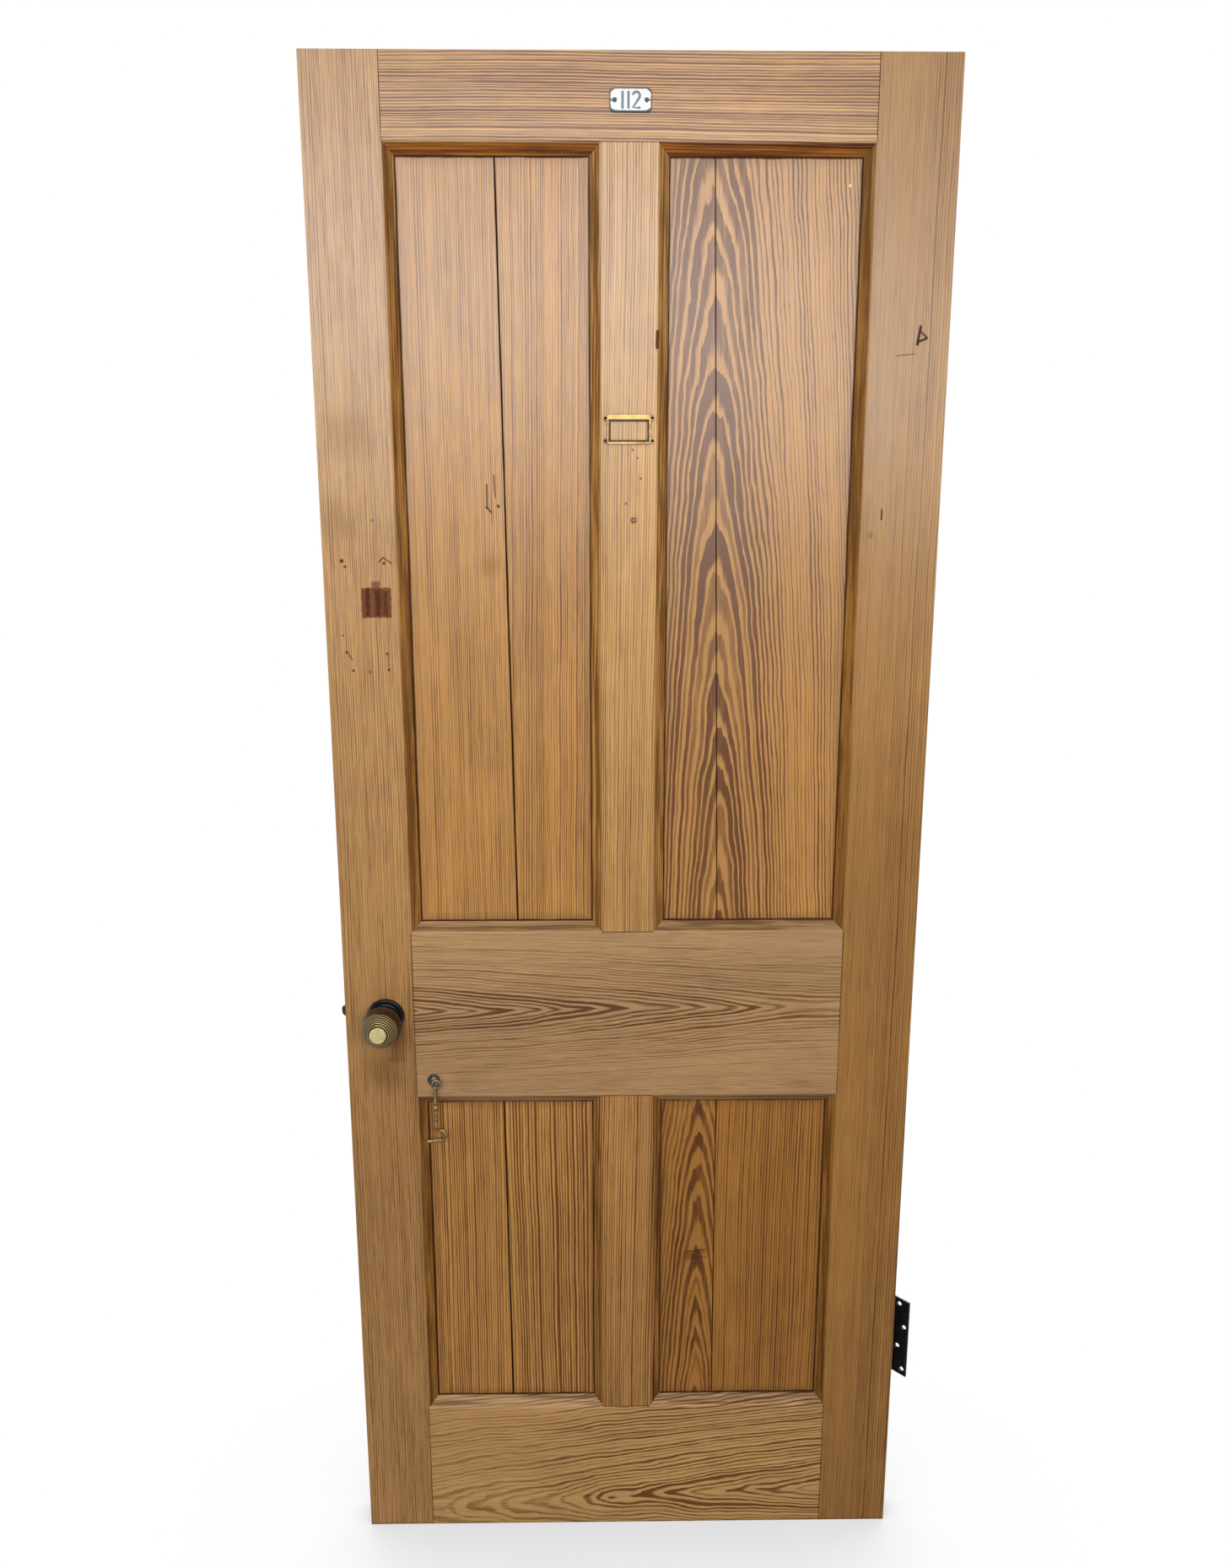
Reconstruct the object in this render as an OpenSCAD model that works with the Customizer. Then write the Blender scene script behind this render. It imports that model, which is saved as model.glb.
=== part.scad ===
// Four-panel pine door leaf with knobs, mortice latch, butt hinges and cabin hook
// Sizes in millimetres, drawn upright on the middle of its bottom edge

/* [Leaf] */
// Width over the stiles
leaf_w = 762; // [700:1:840]
// Height of the stiles
leaf_h = 1981; // [1900:1:2100]
// Thickness of stiles, rails and muntins
leaf_t = 40; // [38:0.5:46]

/* [Framing] */
// Face width of the lock stile, from its edge to the bevel
lock_stile_w = 91; // [86:0.5:110]
// Face width of the hanging stile, from its edge to the bevel
hanging_stile_w = 96; // [86:0.5:110]
// Face width of the muntins between their bevels
muntin_w = 67; // [60:0.5:80]
// Face height of the top rail
top_rail_h = 95; // [90:0.5:110]
// Height of the lock rail's lower arris
lock_rail_z = 690; // [680:1:720]
// Face height of the lock rail
lock_rail_h = 234; // [230:1:250]
// Face height of the bottom rail
bottom_rail_h = 198; // [180:1:220]
// Width of the bevel worked along each opening
bevel_w = 13; // [10:0.5:15]
// Depth of the bevel below the face
bevel_d = 11; // [9:0.25:12]
// Depth of the panel groove
groove_d = 10; // [8:0.5:12]
// Gap left in every glued shoulder
joint_gap = 0.05; // [0.02:0.01:0.15]

/* [Tenons] */
// Height of each through tenon of the top and bottom rails
tenon_h = 58; // [48:1:62]
// Wood kept between the latch forend and each tenon of the lock rail
tenon_clear = 15; // [12:0.5:20]
// Wood kept between a tenon and the panel groove beside it
tenon_set = 6; // [5:0.5:8]
// Height of the haunch kept above the top tenon
haunch_h = 32; // [26:1:36]
// Depth of the muntin tenons in the rails
muntin_tenon_d = 42; // [30:1:50]
// Width of the muntin tenons
muntin_tenon_w = 48; // [36:1:52]
// Thickness of a wedge at the stile's outer edge
wedge_t = 5; // [3:0.5:6]
// Length of a wedge
wedge_l = 62; // [40:1:66]

/* [Panels] */
// Thickness of the panel boards
panel_t = 15; // [13:0.5:16]
// Shrinkage room at the bottom of the grooves
panel_play = 1.5; // [0.5:0.25:3]
// Thickness of the tongue between two boards
tongue_t = 5; // [4:0.25:6]
// Width of the tongue between two boards
tongue_w = 6; // [4:0.5:9]
// Open split between the boards of the left panels
left_split = 1.2; // [0.3:0.1:3]
// Hairline between the boards of the right panels
right_split = 0.3; // [0.1:0.1:2]
// Place of the upper left split at the lock rail, as a share of the panel
ul_split = 0.564; // [0.45:0.002:0.65]
// Lean of the upper left split over the panel's height
ul_split_lean = -12; // [-20:0.5:20]
// Place of the upper right joint at the lock rail, as a share of the panel
ur_split = 0.32; // [0.27:0.002:0.5]
// Lean of the upper right joint over the panel's height
ur_split_lean = -19; // [-25:0.5:20]
// Place of the lower left split at the bottom rail, as a share of the panel
ll_split = 0.482; // [0.4:0.002:0.6]
// Lean of the lower left split over the panel's height
ll_split_lean = -5; // [-20:0.5:20]
// Place of the lower right joint at the bottom rail, as a share of the panel
lr_split = 0.34; // [0.28:0.002:0.5]
// Lean of the lower right joint over the panel's height
lr_split_lean = -1; // [-20:0.5:20]

/* [Latch] */
// Distance of the knob's axis from the stile's edge
backset = 54; // [52:0.5:57]
// Depth of the case behind the forend
case_d = 71; // [70:0.5:74]
// Height of the case
case_h = 58; // [54:0.5:62]
// Thickness of the case over its cap
case_t = 14; // [13:0.5:15]
// Sheet thickness of the case
case_wall = 1.6; // [1.2:0.1:1.8]
// Room around the case in its mortice
case_room = 0.4; // [0.2:0.1:0.8]
// Thickness of the forend
forend_t = 3; // [2:0.25:3.5]
// Width of the forend
forend_w = 20; // [18:0.5:24]
// Height of the forend
forend_h = 82; // [78:0.5:84]
// Throw of the latch bolt
bolt_throw = 9.5; // [8:0.25:10]
// Height of the bolt head
bolt_h = 13; // [11:0.25:15]
// Thickness of the bolt head
bolt_t = 9; // [8:0.25:10]
// Rounding of the latch bolt's nose, seen from the front
bolt_round = 4.5; // [3:0.25:5]
// Sliding clearance around the bolt
slide_gap = 0.35; // [0.3:0.05:0.5]
// Turn of the knob that draws the bolt home
knob_turn = 40; // [34:1:44]
// Radius of the follower's hub
hub_r = 8; // [7.5:0.1:8.5]
// Radius of the follower's journals
journal_r = 7; // [6.5:0.1:7.25]
// Radial clearance of running fits
run_fit = 0.05; // [0.02:0.01:0.09]
// Radius of the follower's nose
nose_r = 2.4; // [2:0.1:2.8]
// Wire thickness of the spring
spring_t = 1; // [0.8:0.1:1.2]
// Inner radius of the spring's coil
spring_r = 3; // [2.5:0.1:3.3]

/* [Knobs] */
// Side of the square spindle
spindle_s = 7.6; // [7:0.1:8]
// Fit between the spindle and its sockets
spindle_fit = 0.05; // [0.02:0.01:0.1]
// Radius of the knob's neck
neck_r = 9; // [8.5:0.1:10]
// Largest radius of the knob
knob_r = 26; // [24:0.25:28]
// Distance of the knob's end from the door
knob_out = 65; // [62:0.5:68]
// Distance of the knob's widest ring from the door
knob_wide = 36; // [33:0.5:38]
// Radius of the knob's side curve
bell_r = 30; // [29:0.25:31]
// Number of reeds around the end disc
reed_n = 6; // [4:1:7]
// Radius of each reed
reed_r = 1.2; // [0.9:0.1:1.3]
// Step from reed to reed along the side curve, in degrees
reed_turn = 5.5; // [5:0.25:6]
// Radius of the end disc
disc_r = 11; // [10:0.25:11.5]
// Height of the end disc over the reeds
disc_h = 3.5; // [3:0.25:4]
// Radius of the rose
rose_r = 25; // [23.5:0.25:27]
// Height of the rose over the door
rose_h = 9; // [8:0.25:10]
// Thickness of the plate under the rose
rose_plate_t = 2; // [1.5:0.25:2.5]
// Radius of the rose screws' shanks
rose_screw_r = 1.5; // [1.25:0.05:1.75]
// Length of the rose screws
rose_screw_l = 10; // [8:0.5:11]
// Radius of the grub screws in the necks
grub_r = 2; // [1.5:0.1:2.25]

/* [Hinges] */
// Height of each hinge
hinge_h = 122; // [115:0.5:128]
// Reach of a flap from the pin's axis
hinge_w = 33; // [32:0.25:36]
// Thickness of the flaps
flap_t = 2.5; // [2:0.1:3]
// Gap between the closed flaps
flap_gap = 5; // [4.5:0.1:6]
// Distance of the pin behind the leaf's back face
pin_back = 3.5; // [3:0.25:4]
// Radius of the pins
pin_r = 2.5; // [2:0.1:2.75]
// Height of the lower hinge's bottom edge
lower_hinge_z = 226; // [200:1:260]
// Distance of the upper hinge below the top of the leaf
upper_hinge_drop = 150; // [145:1:200]
// Opening of the lower hinge's free flap
flap_open = 43; // [0:1:120]
// Opening of the upper hinge's free flap, out of sight behind the leaf
upper_flap_open = 150; // [120:1:180]
// Radius of the screw holes
hinge_hole_r = 3; // [2.6:0.1:3.2]
// Radius of the countersinks
hinge_sink_r = 4.8; // [4.4:0.1:5]
// Distance of the inner holes from the pin
hole_near = 16; // [14:0.25:17]
// Distance of the outer holes from the pin
hole_far = 25.5; // [24:0.25:26]
// Distance of the end holes from the flap's ends
hole_end = 9; // [8:0.25:12]
// Gap between two knuckles
knuckle_gap = 0.3; // [0.2:0.05:0.6]
// Length of the hinge screws
hinge_screw_l = 30; // [20:1:36]

/* [Number plate] */
// Width of the number plate
plate_w = 48; // [44:0.5:54]
// Height of the number plate
plate_h = 25; // [22:0.5:30]
// Thickness of the number plate
plate_t = 1.6; // [1:0.1:2.5]
// Corner radius of the number plate
plate_corner = 5; // [3:0.25:7]
// Drop of the number plate's middle below the middle of the top rail
plate_drop = 4.5; // [0:0.5:10]
// Sideways place of the number plate
plate_x = -1.3; // [-6:0.1:6]
// Spacing of the number plate's pins
plate_pins = 37.5; // [34:0.25:40]

/* [Card frame] */
// Width of the card frame between its ears
card_w = 53; // [52:0.5:56]
// Radius of the card frame's ears
card_ear_r = 2.8; // [2.5:0.1:3.2]
// Height of the card frame
card_h = 34; // [30:0.5:38]
// Thickness of the card frame
card_t = 2.6; // [2.2:0.1:3.4]
// Width of the window
card_window_w = 45; // [40:0.5:45.5]
// Height of the window
card_window_h = 22; // [18:0.5:22.5]
// Drop of the window below the middle of the frame
card_window_drop = 1.5; // [0:0.25:1.75]
// Width of the sunk lip around the card frame's window
card_lip = 1.6; // [1.2:0.1:2]
// Depth of the slot for the card
card_slot_t = 1; // [0.6:0.1:1.4]
// Overlap of the frame on the card
card_lap = 1.5; // [0.75:0.25:1.5]
// Height of the card frame as a share of the upper muntin
card_up = 0.667; // [0.5:0.001:0.75]
// Pin spacing across the card frame
card_pins_x = 57; // [56:0.25:60]
// Pin spacing up the card frame
card_pins_z = 26.5; // [25:0.25:28]
// Radius of the pins' shanks
tack_r = 0.8; // [0.6:0.05:1]
// Radius of the pins' heads
tack_head_r = 2; // [1.6:0.1:2.2]
// Length of the pins in the wood
tack_l = 9; // [7:0.5:11]

/* [Cabin hook] */
// Distance of the hook's stud from the lock stile's arris
hook_in = 24; // [20:0.5:32]
// Height of the hook's stud above the lock rail's lower arris
hook_up = 24; // [16:0.5:34]
// Radius of the domed base
hook_base_r = 8.5; // [8:0.25:9.5]
// Rise of the domed base
hook_base_t = 6; // [5.5:0.25:6.5]
// Radius of the stud
stud_r = 2.2; // [2:0.1:2.3]
// Sideways place of the stud on its base
stud_set = 4.5; // [4:0.25:5]
// Drop of the stud below the middle of its base
stud_drop = 1.5; // [1:0.25:2]
// Radius of the cap on the stud
dome_r = 4.2; // [4:0.1:5]
// Rise of the cap
dome_h = 2.4; // [2:0.1:3]
// Length of the screw behind the base
stud_screw_l = 18; // [12:0.5:22]
// Radius of the hook's rod
rod_r = 2.3; // [2.2:0.05:2.6]
// Radius of the eye's middle line
hook_eye_r = 5.2; // [5:0.1:5.6]
// Radius of the eye's wire
eye_wire_r = 1.9; // [1.8:0.05:2]
// Slack by which the eye hangs on the stud
eye_hang = 0.8; // [0.4:0.1:0.8]
// Sideways set of the rod from the middle of the base
rod_set = 2.5; // [2:0.25:3.5]
// Drop from the base to the start of the bend
rod_drop = 66; // [60:0.5:76]
// Drop from the base to the turned knop
knop_drop = 36; // [30:0.5:44]
// Radius of the knop
knop_r = 3.8; // [3.5:0.1:4.5]
// Radius of the first bend
bend_r = 4; // [3.5:0.1:5]
// Radius of the returning bend
crook_r = 7; // [6:0.1:8]
// Length of the hook's peg
peg_l = 19; // [15:0.5:24]
// Slope of the peg below level
peg_slope = 8; // [0:1:15]

/* [Hidden] */
$fn = 48;
edge_x = leaf_w / 2;
face_y = leaf_t / 2;
lock_arris = -edge_x + lock_stile_w;
lock_sight = lock_arris + bevel_w;
hang_arris = edge_x - hanging_stile_w;
hang_sight = hang_arris - bevel_w;
mid_x = (lock_arris + hang_arris) / 2;
muntin_sight = muntin_w / 2 + bevel_w;
top_arris = leaf_h - top_rail_h;
lock_top = lock_rail_z + lock_rail_h;
groove_w = panel_t + 2 * joint_gap;
tenon_t = panel_t;
sight_d = face_y - bevel_d;
top_tenon_z = leaf_h - haunch_h - tenon_h;
lock_tenon_h = lock_rail_h / 2 + bevel_w - groove_d - tenon_set - forend_h / 2 - tenon_clear;
lock_tenon_low = lock_rail_z - bevel_w + groove_d + tenon_set;
lock_tenon_high = lock_top + bevel_w - groove_d - tenon_set - lock_tenon_h;
bottom_tenon_low = 26;
bottom_tenon_high = bottom_rail_h + bevel_w - groove_d - tenon_set - tenon_h;
tenon_spots = [
    [top_tenon_z, tenon_h],
    [lock_tenon_low, lock_tenon_h],
    [lock_tenon_high, lock_tenon_h],
    [bottom_tenon_low, tenon_h],
    [bottom_tenon_high, tenon_h]
];
half_lap = 1;
board_in = groove_d - panel_play;
upper_foot = lock_top + bevel_w - board_in;
upper_head = top_arris - bevel_w + board_in;
lower_foot = bottom_rail_h + bevel_w - board_in;
lower_head = lock_rail_z - bevel_w + board_in;
left_w = mid_x - muntin_sight - lock_sight;
right_w = hang_sight - mid_x - muntin_sight;
ul_split_low = lock_sight + ul_split * left_w;
ll_split_low = lock_sight + ll_split * left_w;
ur_split_low = mid_x + muntin_sight + ur_split * right_w;
lr_split_low = mid_x + muntin_sight + lr_split * right_w;
left_side = lock_sight - board_in;
left_mid = mid_x - muntin_sight + board_in;
right_mid = mid_x + muntin_sight - board_in;
right_side = hang_sight + board_in;
latch_x = -edge_x + backset;
latch_z = lock_rail_z + lock_rail_h / 2;
case_x = -edge_x + forend_t;
arm_r = bolt_throw / (2 * sin(knob_turn / 2));
nose_rest_x = latch_x - arm_r * sin(knob_turn / 2);
lug_x = nose_rest_x + nose_r + slide_gap;
lug_w = 4;
lug_low = latch_z + arm_r * cos(knob_turn / 2) - 1;
arm_w = nose_r * 1.5;
bolt_end_x = latch_x - hub_r - bolt_throw - 1.5;
riser_w = 6;
tail_low = latch_z + arm_r + nose_r + 0.6;
tail_h = 4.5;
riser_foot = latch_z - 19;
hub_t = case_t - 2 * case_wall - 0.4;
spring_x = latch_x + 9;
spring_z = latch_z - case_h / 2 + case_wall + spring_r + spring_t + 1.2;
spring_w = 5;
shank_hole_r = hub_r + 1.5;
knob_top = knob_out - disc_h;
knob_back = rose_h + 11;
reed_first = asin((knob_top - 0.9 - knob_wide) / bell_r);
grub_u = rose_h + 3.2;
pin_x = edge_x + flap_gap / 2;
pin_y = face_y + pin_back;
knuckle_r = flap_gap / 2 + flap_t + 0.15;
upper_hinge_z = leaf_h - upper_hinge_drop - hinge_h;
knuckle_l = hinge_h / 5;
hinge_screw_r = hinge_hole_r - 0.7;
tack_bore_r = tack_r + joint_gap;
plate_screw_r = 1.2;
plate_z = leaf_h - top_rail_h / 2 - plate_drop;
card_z = lock_top + card_up * (top_arris - lock_top);
hook_x = lock_arris + hook_in;
hook_z = lock_rail_z + hook_up;
hook_y = -face_y - hook_base_t - slide_gap;
stud_x = hook_x + stud_set;
stud_z = hook_z - stud_drop;
stud_l = 2 * rod_r + 2 * slide_gap;

// Section of a framing edge: bevels on both faces and the panel groove between them
// The edge looks along +x and its sight line is at x = 0
function edge_points(back) = [
    [-back, -face_y],
    [-bevel_w, -face_y],
    [0, -sight_d],
    [0, -groove_w / 2],
    [-groove_d, -groove_w / 2],
    [-groove_d, groove_w / 2],
    [0, groove_w / 2],
    [0, sight_d],
    [-bevel_w, face_y],
    [-back, face_y]
];

// Outline of a shoulder scribed over that edge, with the haunch that fills its groove
// The shoulder lies on the +x side of the sight line
function shoulder_points(reach) = [
    [reach, -face_y],
    [-bevel_w + joint_gap, -face_y],
    [joint_gap, -sight_d],
    [joint_gap, -tenon_t / 2],
    [-groove_d + joint_gap, -tenon_t / 2],
    [-groove_d + joint_gap, tenon_t / 2],
    [joint_gap, tenon_t / 2],
    [joint_gap, sight_d],
    [-bevel_w + joint_gap, face_y],
    [reach, face_y]
];

// A section drawn in x and y, run upwards between two heights
module run_up(z0, z1) {
    translate([0, 0, z0]) linear_extrude(height = z1 - z0) children();
}

// A section drawn in depth and height, run across between two sides
module run_across(x0, x1) {
    translate([x0, 0, 0]) rotate([90, 0, 90]) linear_extrude(height = x1 - x0) children();
}

// A shape drawn in x and z, centred on the leaf's mid plane
module slab(t) {
    rotate([90, 0, 0]) linear_extrude(height = t, center = true) children();
}

// A turned shape whose drawn height points out of the front face
module turned_front(x, z) {
    translate([x, -face_y, z]) rotate([90, 0, 0]) rotate_extrude() children();
}

// A turned shape whose drawn height points out of the back face
module turned_back(x, z) {
    translate([x, face_y, z]) rotate([-90, 0, 0]) rotate_extrude() children();
}

// A straight bore across the leaf's thickness
module bore_y(x, z, r, y0, y1) {
    translate([x, y0, z]) rotate([-90, 0, 0]) cylinder(r = r, h = y1 - y0);
}

// Mortice of a through tenon, flared for its two wedges
// Drawn for an outer edge at x = 0 with the wood on the +x side
module mortice_outline(z, h, depth) {
    polygon([
        [-1, z - wedge_t * (wedge_l + 1) / wedge_l],
        [wedge_l, z],
        [depth, z],
        [depth, z + h],
        [wedge_l, z + h],
        [-1, z + h + wedge_t * (wedge_l + 1) / wedge_l]
    ]);
}

module stile_mortices(stile_full) {
    for (t = tenon_spots)
        slab(tenon_t + 2 * joint_gap) mortice_outline(t[0], t[1], stile_full - groove_d + 1);
}

// Seat of a hinge flap in the hanging stile, with its pilot holes
module hinge_seat(z0) {
    translate([edge_x - flap_t, pin_y - hinge_w - joint_gap, z0 - joint_gap])
        cube([flap_t + 1, hinge_w + 1, hinge_h + 2 * joint_gap]);
    for (i = [0:3])
        translate([edge_x - flap_t + 0.1, pin_y - hole_y(i), z0 + hole_h(i)]) rotate([0, -90, 0])
            cylinder(r = hinge_screw_r + joint_gap, h = hinge_screw_l + 1);
}

function hole_y(i) = i % 2 == 0 ? hole_far : hole_near;
function hole_h(i) = hole_end + i * (hinge_h - 2 * hole_end) / 3;

module lock_stile() {
    color([0.66, 0.42, 0.22]) difference() {
        run_up(0, leaf_h) translate([lock_sight, 0]) polygon(edge_points(lock_stile_w + bevel_w));
        translate([-edge_x, 0, 0]) stile_mortices(lock_stile_w + bevel_w);
        translate([-edge_x - 1, -forend_w / 2 - joint_gap, latch_z - forend_h / 2 - joint_gap])
            cube([forend_t + 1, forend_w + 2 * joint_gap, forend_h + 2 * joint_gap]);
        translate([-edge_x, -case_t / 2 - case_room, latch_z - case_h / 2 - case_room])
            cube([forend_t + case_d + case_room, case_t + 2 * case_room, case_h + 2 * case_room]);
        bore_y(latch_x, latch_z, shank_hole_r, -face_y - 1, face_y + 1);
        for (s = [-1, 1]) {
            translate([case_x - 0.1, 0, latch_z + s * forend_screw_z()]) rotate([0, 90, 0])
                cylinder(r = plate_screw_r + joint_gap, h = 17);
            bore_y(latch_x + s * rose_screw_x(), latch_z, rose_screw_r + joint_gap,
                -face_y - 1, -face_y + rose_screw_l);
            bore_y(latch_x + s * rose_screw_x(), latch_z, rose_screw_r + joint_gap,
                face_y - rose_screw_l, face_y + 1);
        }
    }
}

module hanging_stile() {
    color([0.66, 0.42, 0.22]) difference() {
        run_up(0, leaf_h) translate([hang_sight, 0]) mirror([1, 0]) polygon(edge_points(hanging_stile_w + bevel_w));
        translate([edge_x, 0, 0]) mirror([1, 0, 0]) stile_mortices(hanging_stile_w + bevel_w);
        hinge_seat(lower_hinge_z);
        hinge_seat(upper_hinge_z);
    }
}

// Plan of a rail between the two stiles, scribed to both
module rail_plan() {
    translate([lock_sight, 0]) polygon(shoulder_points(mid_x - lock_sight + half_lap));
    translate([hang_sight, 0]) mirror([1, 0]) polygon(shoulder_points(hang_sight - mid_x));
}

// Through tenon of a rail at both ends
module rail_tenons(z, h) {
    translate([-edge_x, -tenon_t / 2, z]) cube([lock_stile_w + bevel_w - groove_d + 1, tenon_t, h]);
    translate([hang_sight + groove_d - 1, -tenon_t / 2, z])
        cube([hanging_stile_w + bevel_w - groove_d + 1, tenon_t, h]);
}

// Mortice of a muntin's tenon, sunk from a rail's edge
module muntin_mortice(z0, z1) {
    translate([mid_x - muntin_tenon_w / 2 - joint_gap, -tenon_t / 2 - joint_gap, z0])
        cube([muntin_tenon_w + 2 * joint_gap, tenon_t + 2 * joint_gap, z1 - z0]);
}

// A framing edge looking up or down, run across the rail's whole length
module rail_edge(z, back, down) {
    run_across(-edge_x, edge_x) translate([0, z]) rotate(down ? -90 : 90) polygon(edge_points(back));
}

module top_rail() {
    color([0.70, 0.47, 0.27]) {
        difference() {
            intersection() {
                run_up(top_arris - bevel_w - 1, leaf_h) rail_plan();
                rail_edge(top_arris - bevel_w, top_rail_h + bevel_w, true);
            }
            muntin_mortice(top_arris - bevel_w, top_arris - bevel_w + muntin_tenon_d + 1);
            for (s = [-1, 1])
                bore_y(plate_x + s * plate_pins / 2, plate_z, tack_bore_r, -face_y - 1, -face_y + tack_l);
        }
        rail_tenons(top_tenon_z, tenon_h);
    }
}

module lock_rail() {
    color([0.68, 0.44, 0.23]) {
        difference() {
            intersection() {
                run_up(lock_rail_z - bevel_w - 1, lock_top + bevel_w + 1) rail_plan();
                union() {
                    rail_edge(lock_rail_z - bevel_w, lock_rail_h / 2 + bevel_w + half_lap, true);
                    rail_edge(lock_top + bevel_w, lock_rail_h / 2 + bevel_w, false);
                }
            }
            muntin_mortice(lock_rail_z - bevel_w, lock_rail_z - bevel_w + muntin_tenon_d + 1);
            muntin_mortice(lock_top + bevel_w - muntin_tenon_d - 1, lock_top + bevel_w);
            bore_y(hook_x, hook_z, 2.5 + joint_gap, -face_y - 1, -face_y + stud_screw_l + 0.5);
        }
        rail_tenons(lock_tenon_low, lock_tenon_h);
        rail_tenons(lock_tenon_high, lock_tenon_h);
    }
}

module bottom_rail() {
    color([0.62, 0.38, 0.20]) {
        difference() {
            intersection() {
                run_up(0, bottom_rail_h + bevel_w + 1) rail_plan();
                rail_edge(bottom_rail_h + bevel_w, bottom_rail_h + bevel_w, false);
            }
            muntin_mortice(bottom_rail_h + bevel_w - muntin_tenon_d - 1, bottom_rail_h + bevel_w);
        }
        rail_tenons(bottom_tenon_low, tenon_h);
        rail_tenons(bottom_tenon_high, tenon_h);
    }
}

// A muntin between two sight lines, scribed over the bevels of both rails
module muntin(z0, z1) {
    zm = (z0 + z1) / 2;
    intersection() {
        run_up(z0 - bevel_w - 1, z1 + bevel_w + 1) {
            translate([mid_x + muntin_sight, 0]) polygon(edge_points(muntin_sight));
            translate([mid_x - muntin_sight, 0]) mirror([1, 0]) polygon(edge_points(muntin_sight));
        }
        union() {
            run_across(mid_x - muntin_sight - 1, mid_x + muntin_sight + 1)
                translate([0, z0]) rotate(90) polygon(shoulder_points(zm - z0 + half_lap));
            run_across(mid_x - muntin_sight - 1, mid_x + muntin_sight + 1)
                translate([0, z1]) rotate(-90) polygon(shoulder_points(z1 - zm));
        }
    }
    translate([mid_x - muntin_tenon_w / 2, -tenon_t / 2, z0 - muntin_tenon_d])
        cube([muntin_tenon_w, tenon_t, z1 - z0 + 2 * muntin_tenon_d]);
}

module upper_muntin() {
    color([0.70, 0.46, 0.25]) difference() {
        muntin(lock_top + bevel_w, top_arris - bevel_w);
        for (sx = [-1, 1], sz = [-1, 1])
            bore_y(mid_x + sx * card_pins_x / 2, card_z + sz * card_pins_z / 2, tack_bore_r,
                -face_y - 1, -face_y + tack_l);
    }
}

module lower_muntin() {
    color([0.64, 0.40, 0.21]) muntin(bottom_rail_h + bevel_w, lock_rail_z - bevel_w);
}

// One board of a panel between two upright edges, given at its foot and head
module board(z0, z1, t, x0_low, x0_high, x1_low, x1_high) {
    slab(t) polygon([[x0_low, z0], [x1_low, z0], [x1_high, z1], [x0_high, z1]]);
}

// The board on the lock side of a joint, grooved along it
module board_a(z0, z1, side, low, lean, split) {
    near = low - split / 2;
    deep = near - tongue_w - joint_gap;
    difference() {
        board(z0, z1, panel_t, side, side, near, near + lean);
        board(z0 - 1, z1 + 1, tongue_t + 2 * joint_gap, deep, deep + lean, near + 30, near + lean + 30);
    }
}

// The board on the hanging side of a joint, with the tongue
module board_b(z0, z1, side, low, lean, split) {
    near = low + split / 2;
    tip = low - split / 2 - tongue_w + 0.5;
    board(z0, z1, panel_t, near, near + lean, side, side);
    board(z0, z1, tongue_t, tip, tip + lean, near + 1, near + lean + 1);
}

module upper_left_board_a() {
    color([0.72, 0.49, 0.28]) board_a(upper_foot, upper_head, left_side, ul_split_low, ul_split_lean, left_split);
}

module upper_left_board_b() {
    color([0.71, 0.48, 0.27]) board_b(upper_foot, upper_head, left_mid, ul_split_low, ul_split_lean, left_split);
}

module upper_right_board_a() {
    color([0.72, 0.48, 0.26]) board_a(upper_foot, upper_head, right_mid, ur_split_low, ur_split_lean, right_split);
}

module upper_right_board_b() {
    color([0.71, 0.47, 0.25]) board_b(upper_foot, upper_head, right_side, ur_split_low, ur_split_lean, right_split);
}

module lower_left_board_a() {
    color([0.66, 0.41, 0.21]) board_a(lower_foot, lower_head, left_side, ll_split_low, ll_split_lean, left_split);
}

module lower_left_board_b() {
    color([0.66, 0.41, 0.21]) board_b(lower_foot, lower_head, left_mid, ll_split_low, ll_split_lean, left_split);
}

module lower_right_board_a() {
    color([0.66, 0.41, 0.21]) board_a(lower_foot, lower_head, right_mid, lr_split_low, lr_split_lean, right_split);
}

module lower_right_board_b() {
    color([0.66, 0.41, 0.21]) board_b(lower_foot, lower_head, right_side, lr_split_low, lr_split_lean, right_split);
}

// Wedges above and below one tenon, driven in from the stile's outer edge
module wedge_pair(z, h) {
    tip = wedge_l - 4;
    thick = wedge_t - 2 * joint_gap;
    slab(tenon_t) polygon([[0, z + h + joint_gap], [tip, z + h + joint_gap],
        [0, z + h + joint_gap + thick * tip / wedge_l]]);
    slab(tenon_t) polygon([[0, z - joint_gap], [tip, z - joint_gap],
        [0, z - joint_gap - thick * tip / wedge_l]]);
}

module tenon_wedges() {
    color([0.58, 0.38, 0.20]) for (t = tenon_spots) {
        translate([-edge_x, 0, 0]) wedge_pair(t[0], t[1]);
        translate([edge_x, 0, 0]) mirror([1, 0, 0]) wedge_pair(t[0], t[1]);
    }
}

function forend_screw_z() = case_h / 2 + (forend_h - case_h) / 4 + 0.5;
function rose_screw_x() = (shank_hole_r + rose_r - 3.5) / 2 + 0.5;

// Countersunk wood screw, its head flush at z = 0 and its shank going down
module wood_screw(r, head_r, l) {
    rotate_extrude() polygon([[0, 0], [head_r, 0], [r, -(head_r - r)], [r, -l + r], [0, -l]]);
}

// Countersunk hole that takes such a screw through a plate
module screw_hole(r, head_r, t) {
    translate([0, 0, -t - 1]) cylinder(r = r, h = t + 2);
    rotate_extrude() polygon([[0, 0.01], [head_r + 0.01, 0.01], [r, -(head_r - r)], [0, -(head_r - r)]]);
}

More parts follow.
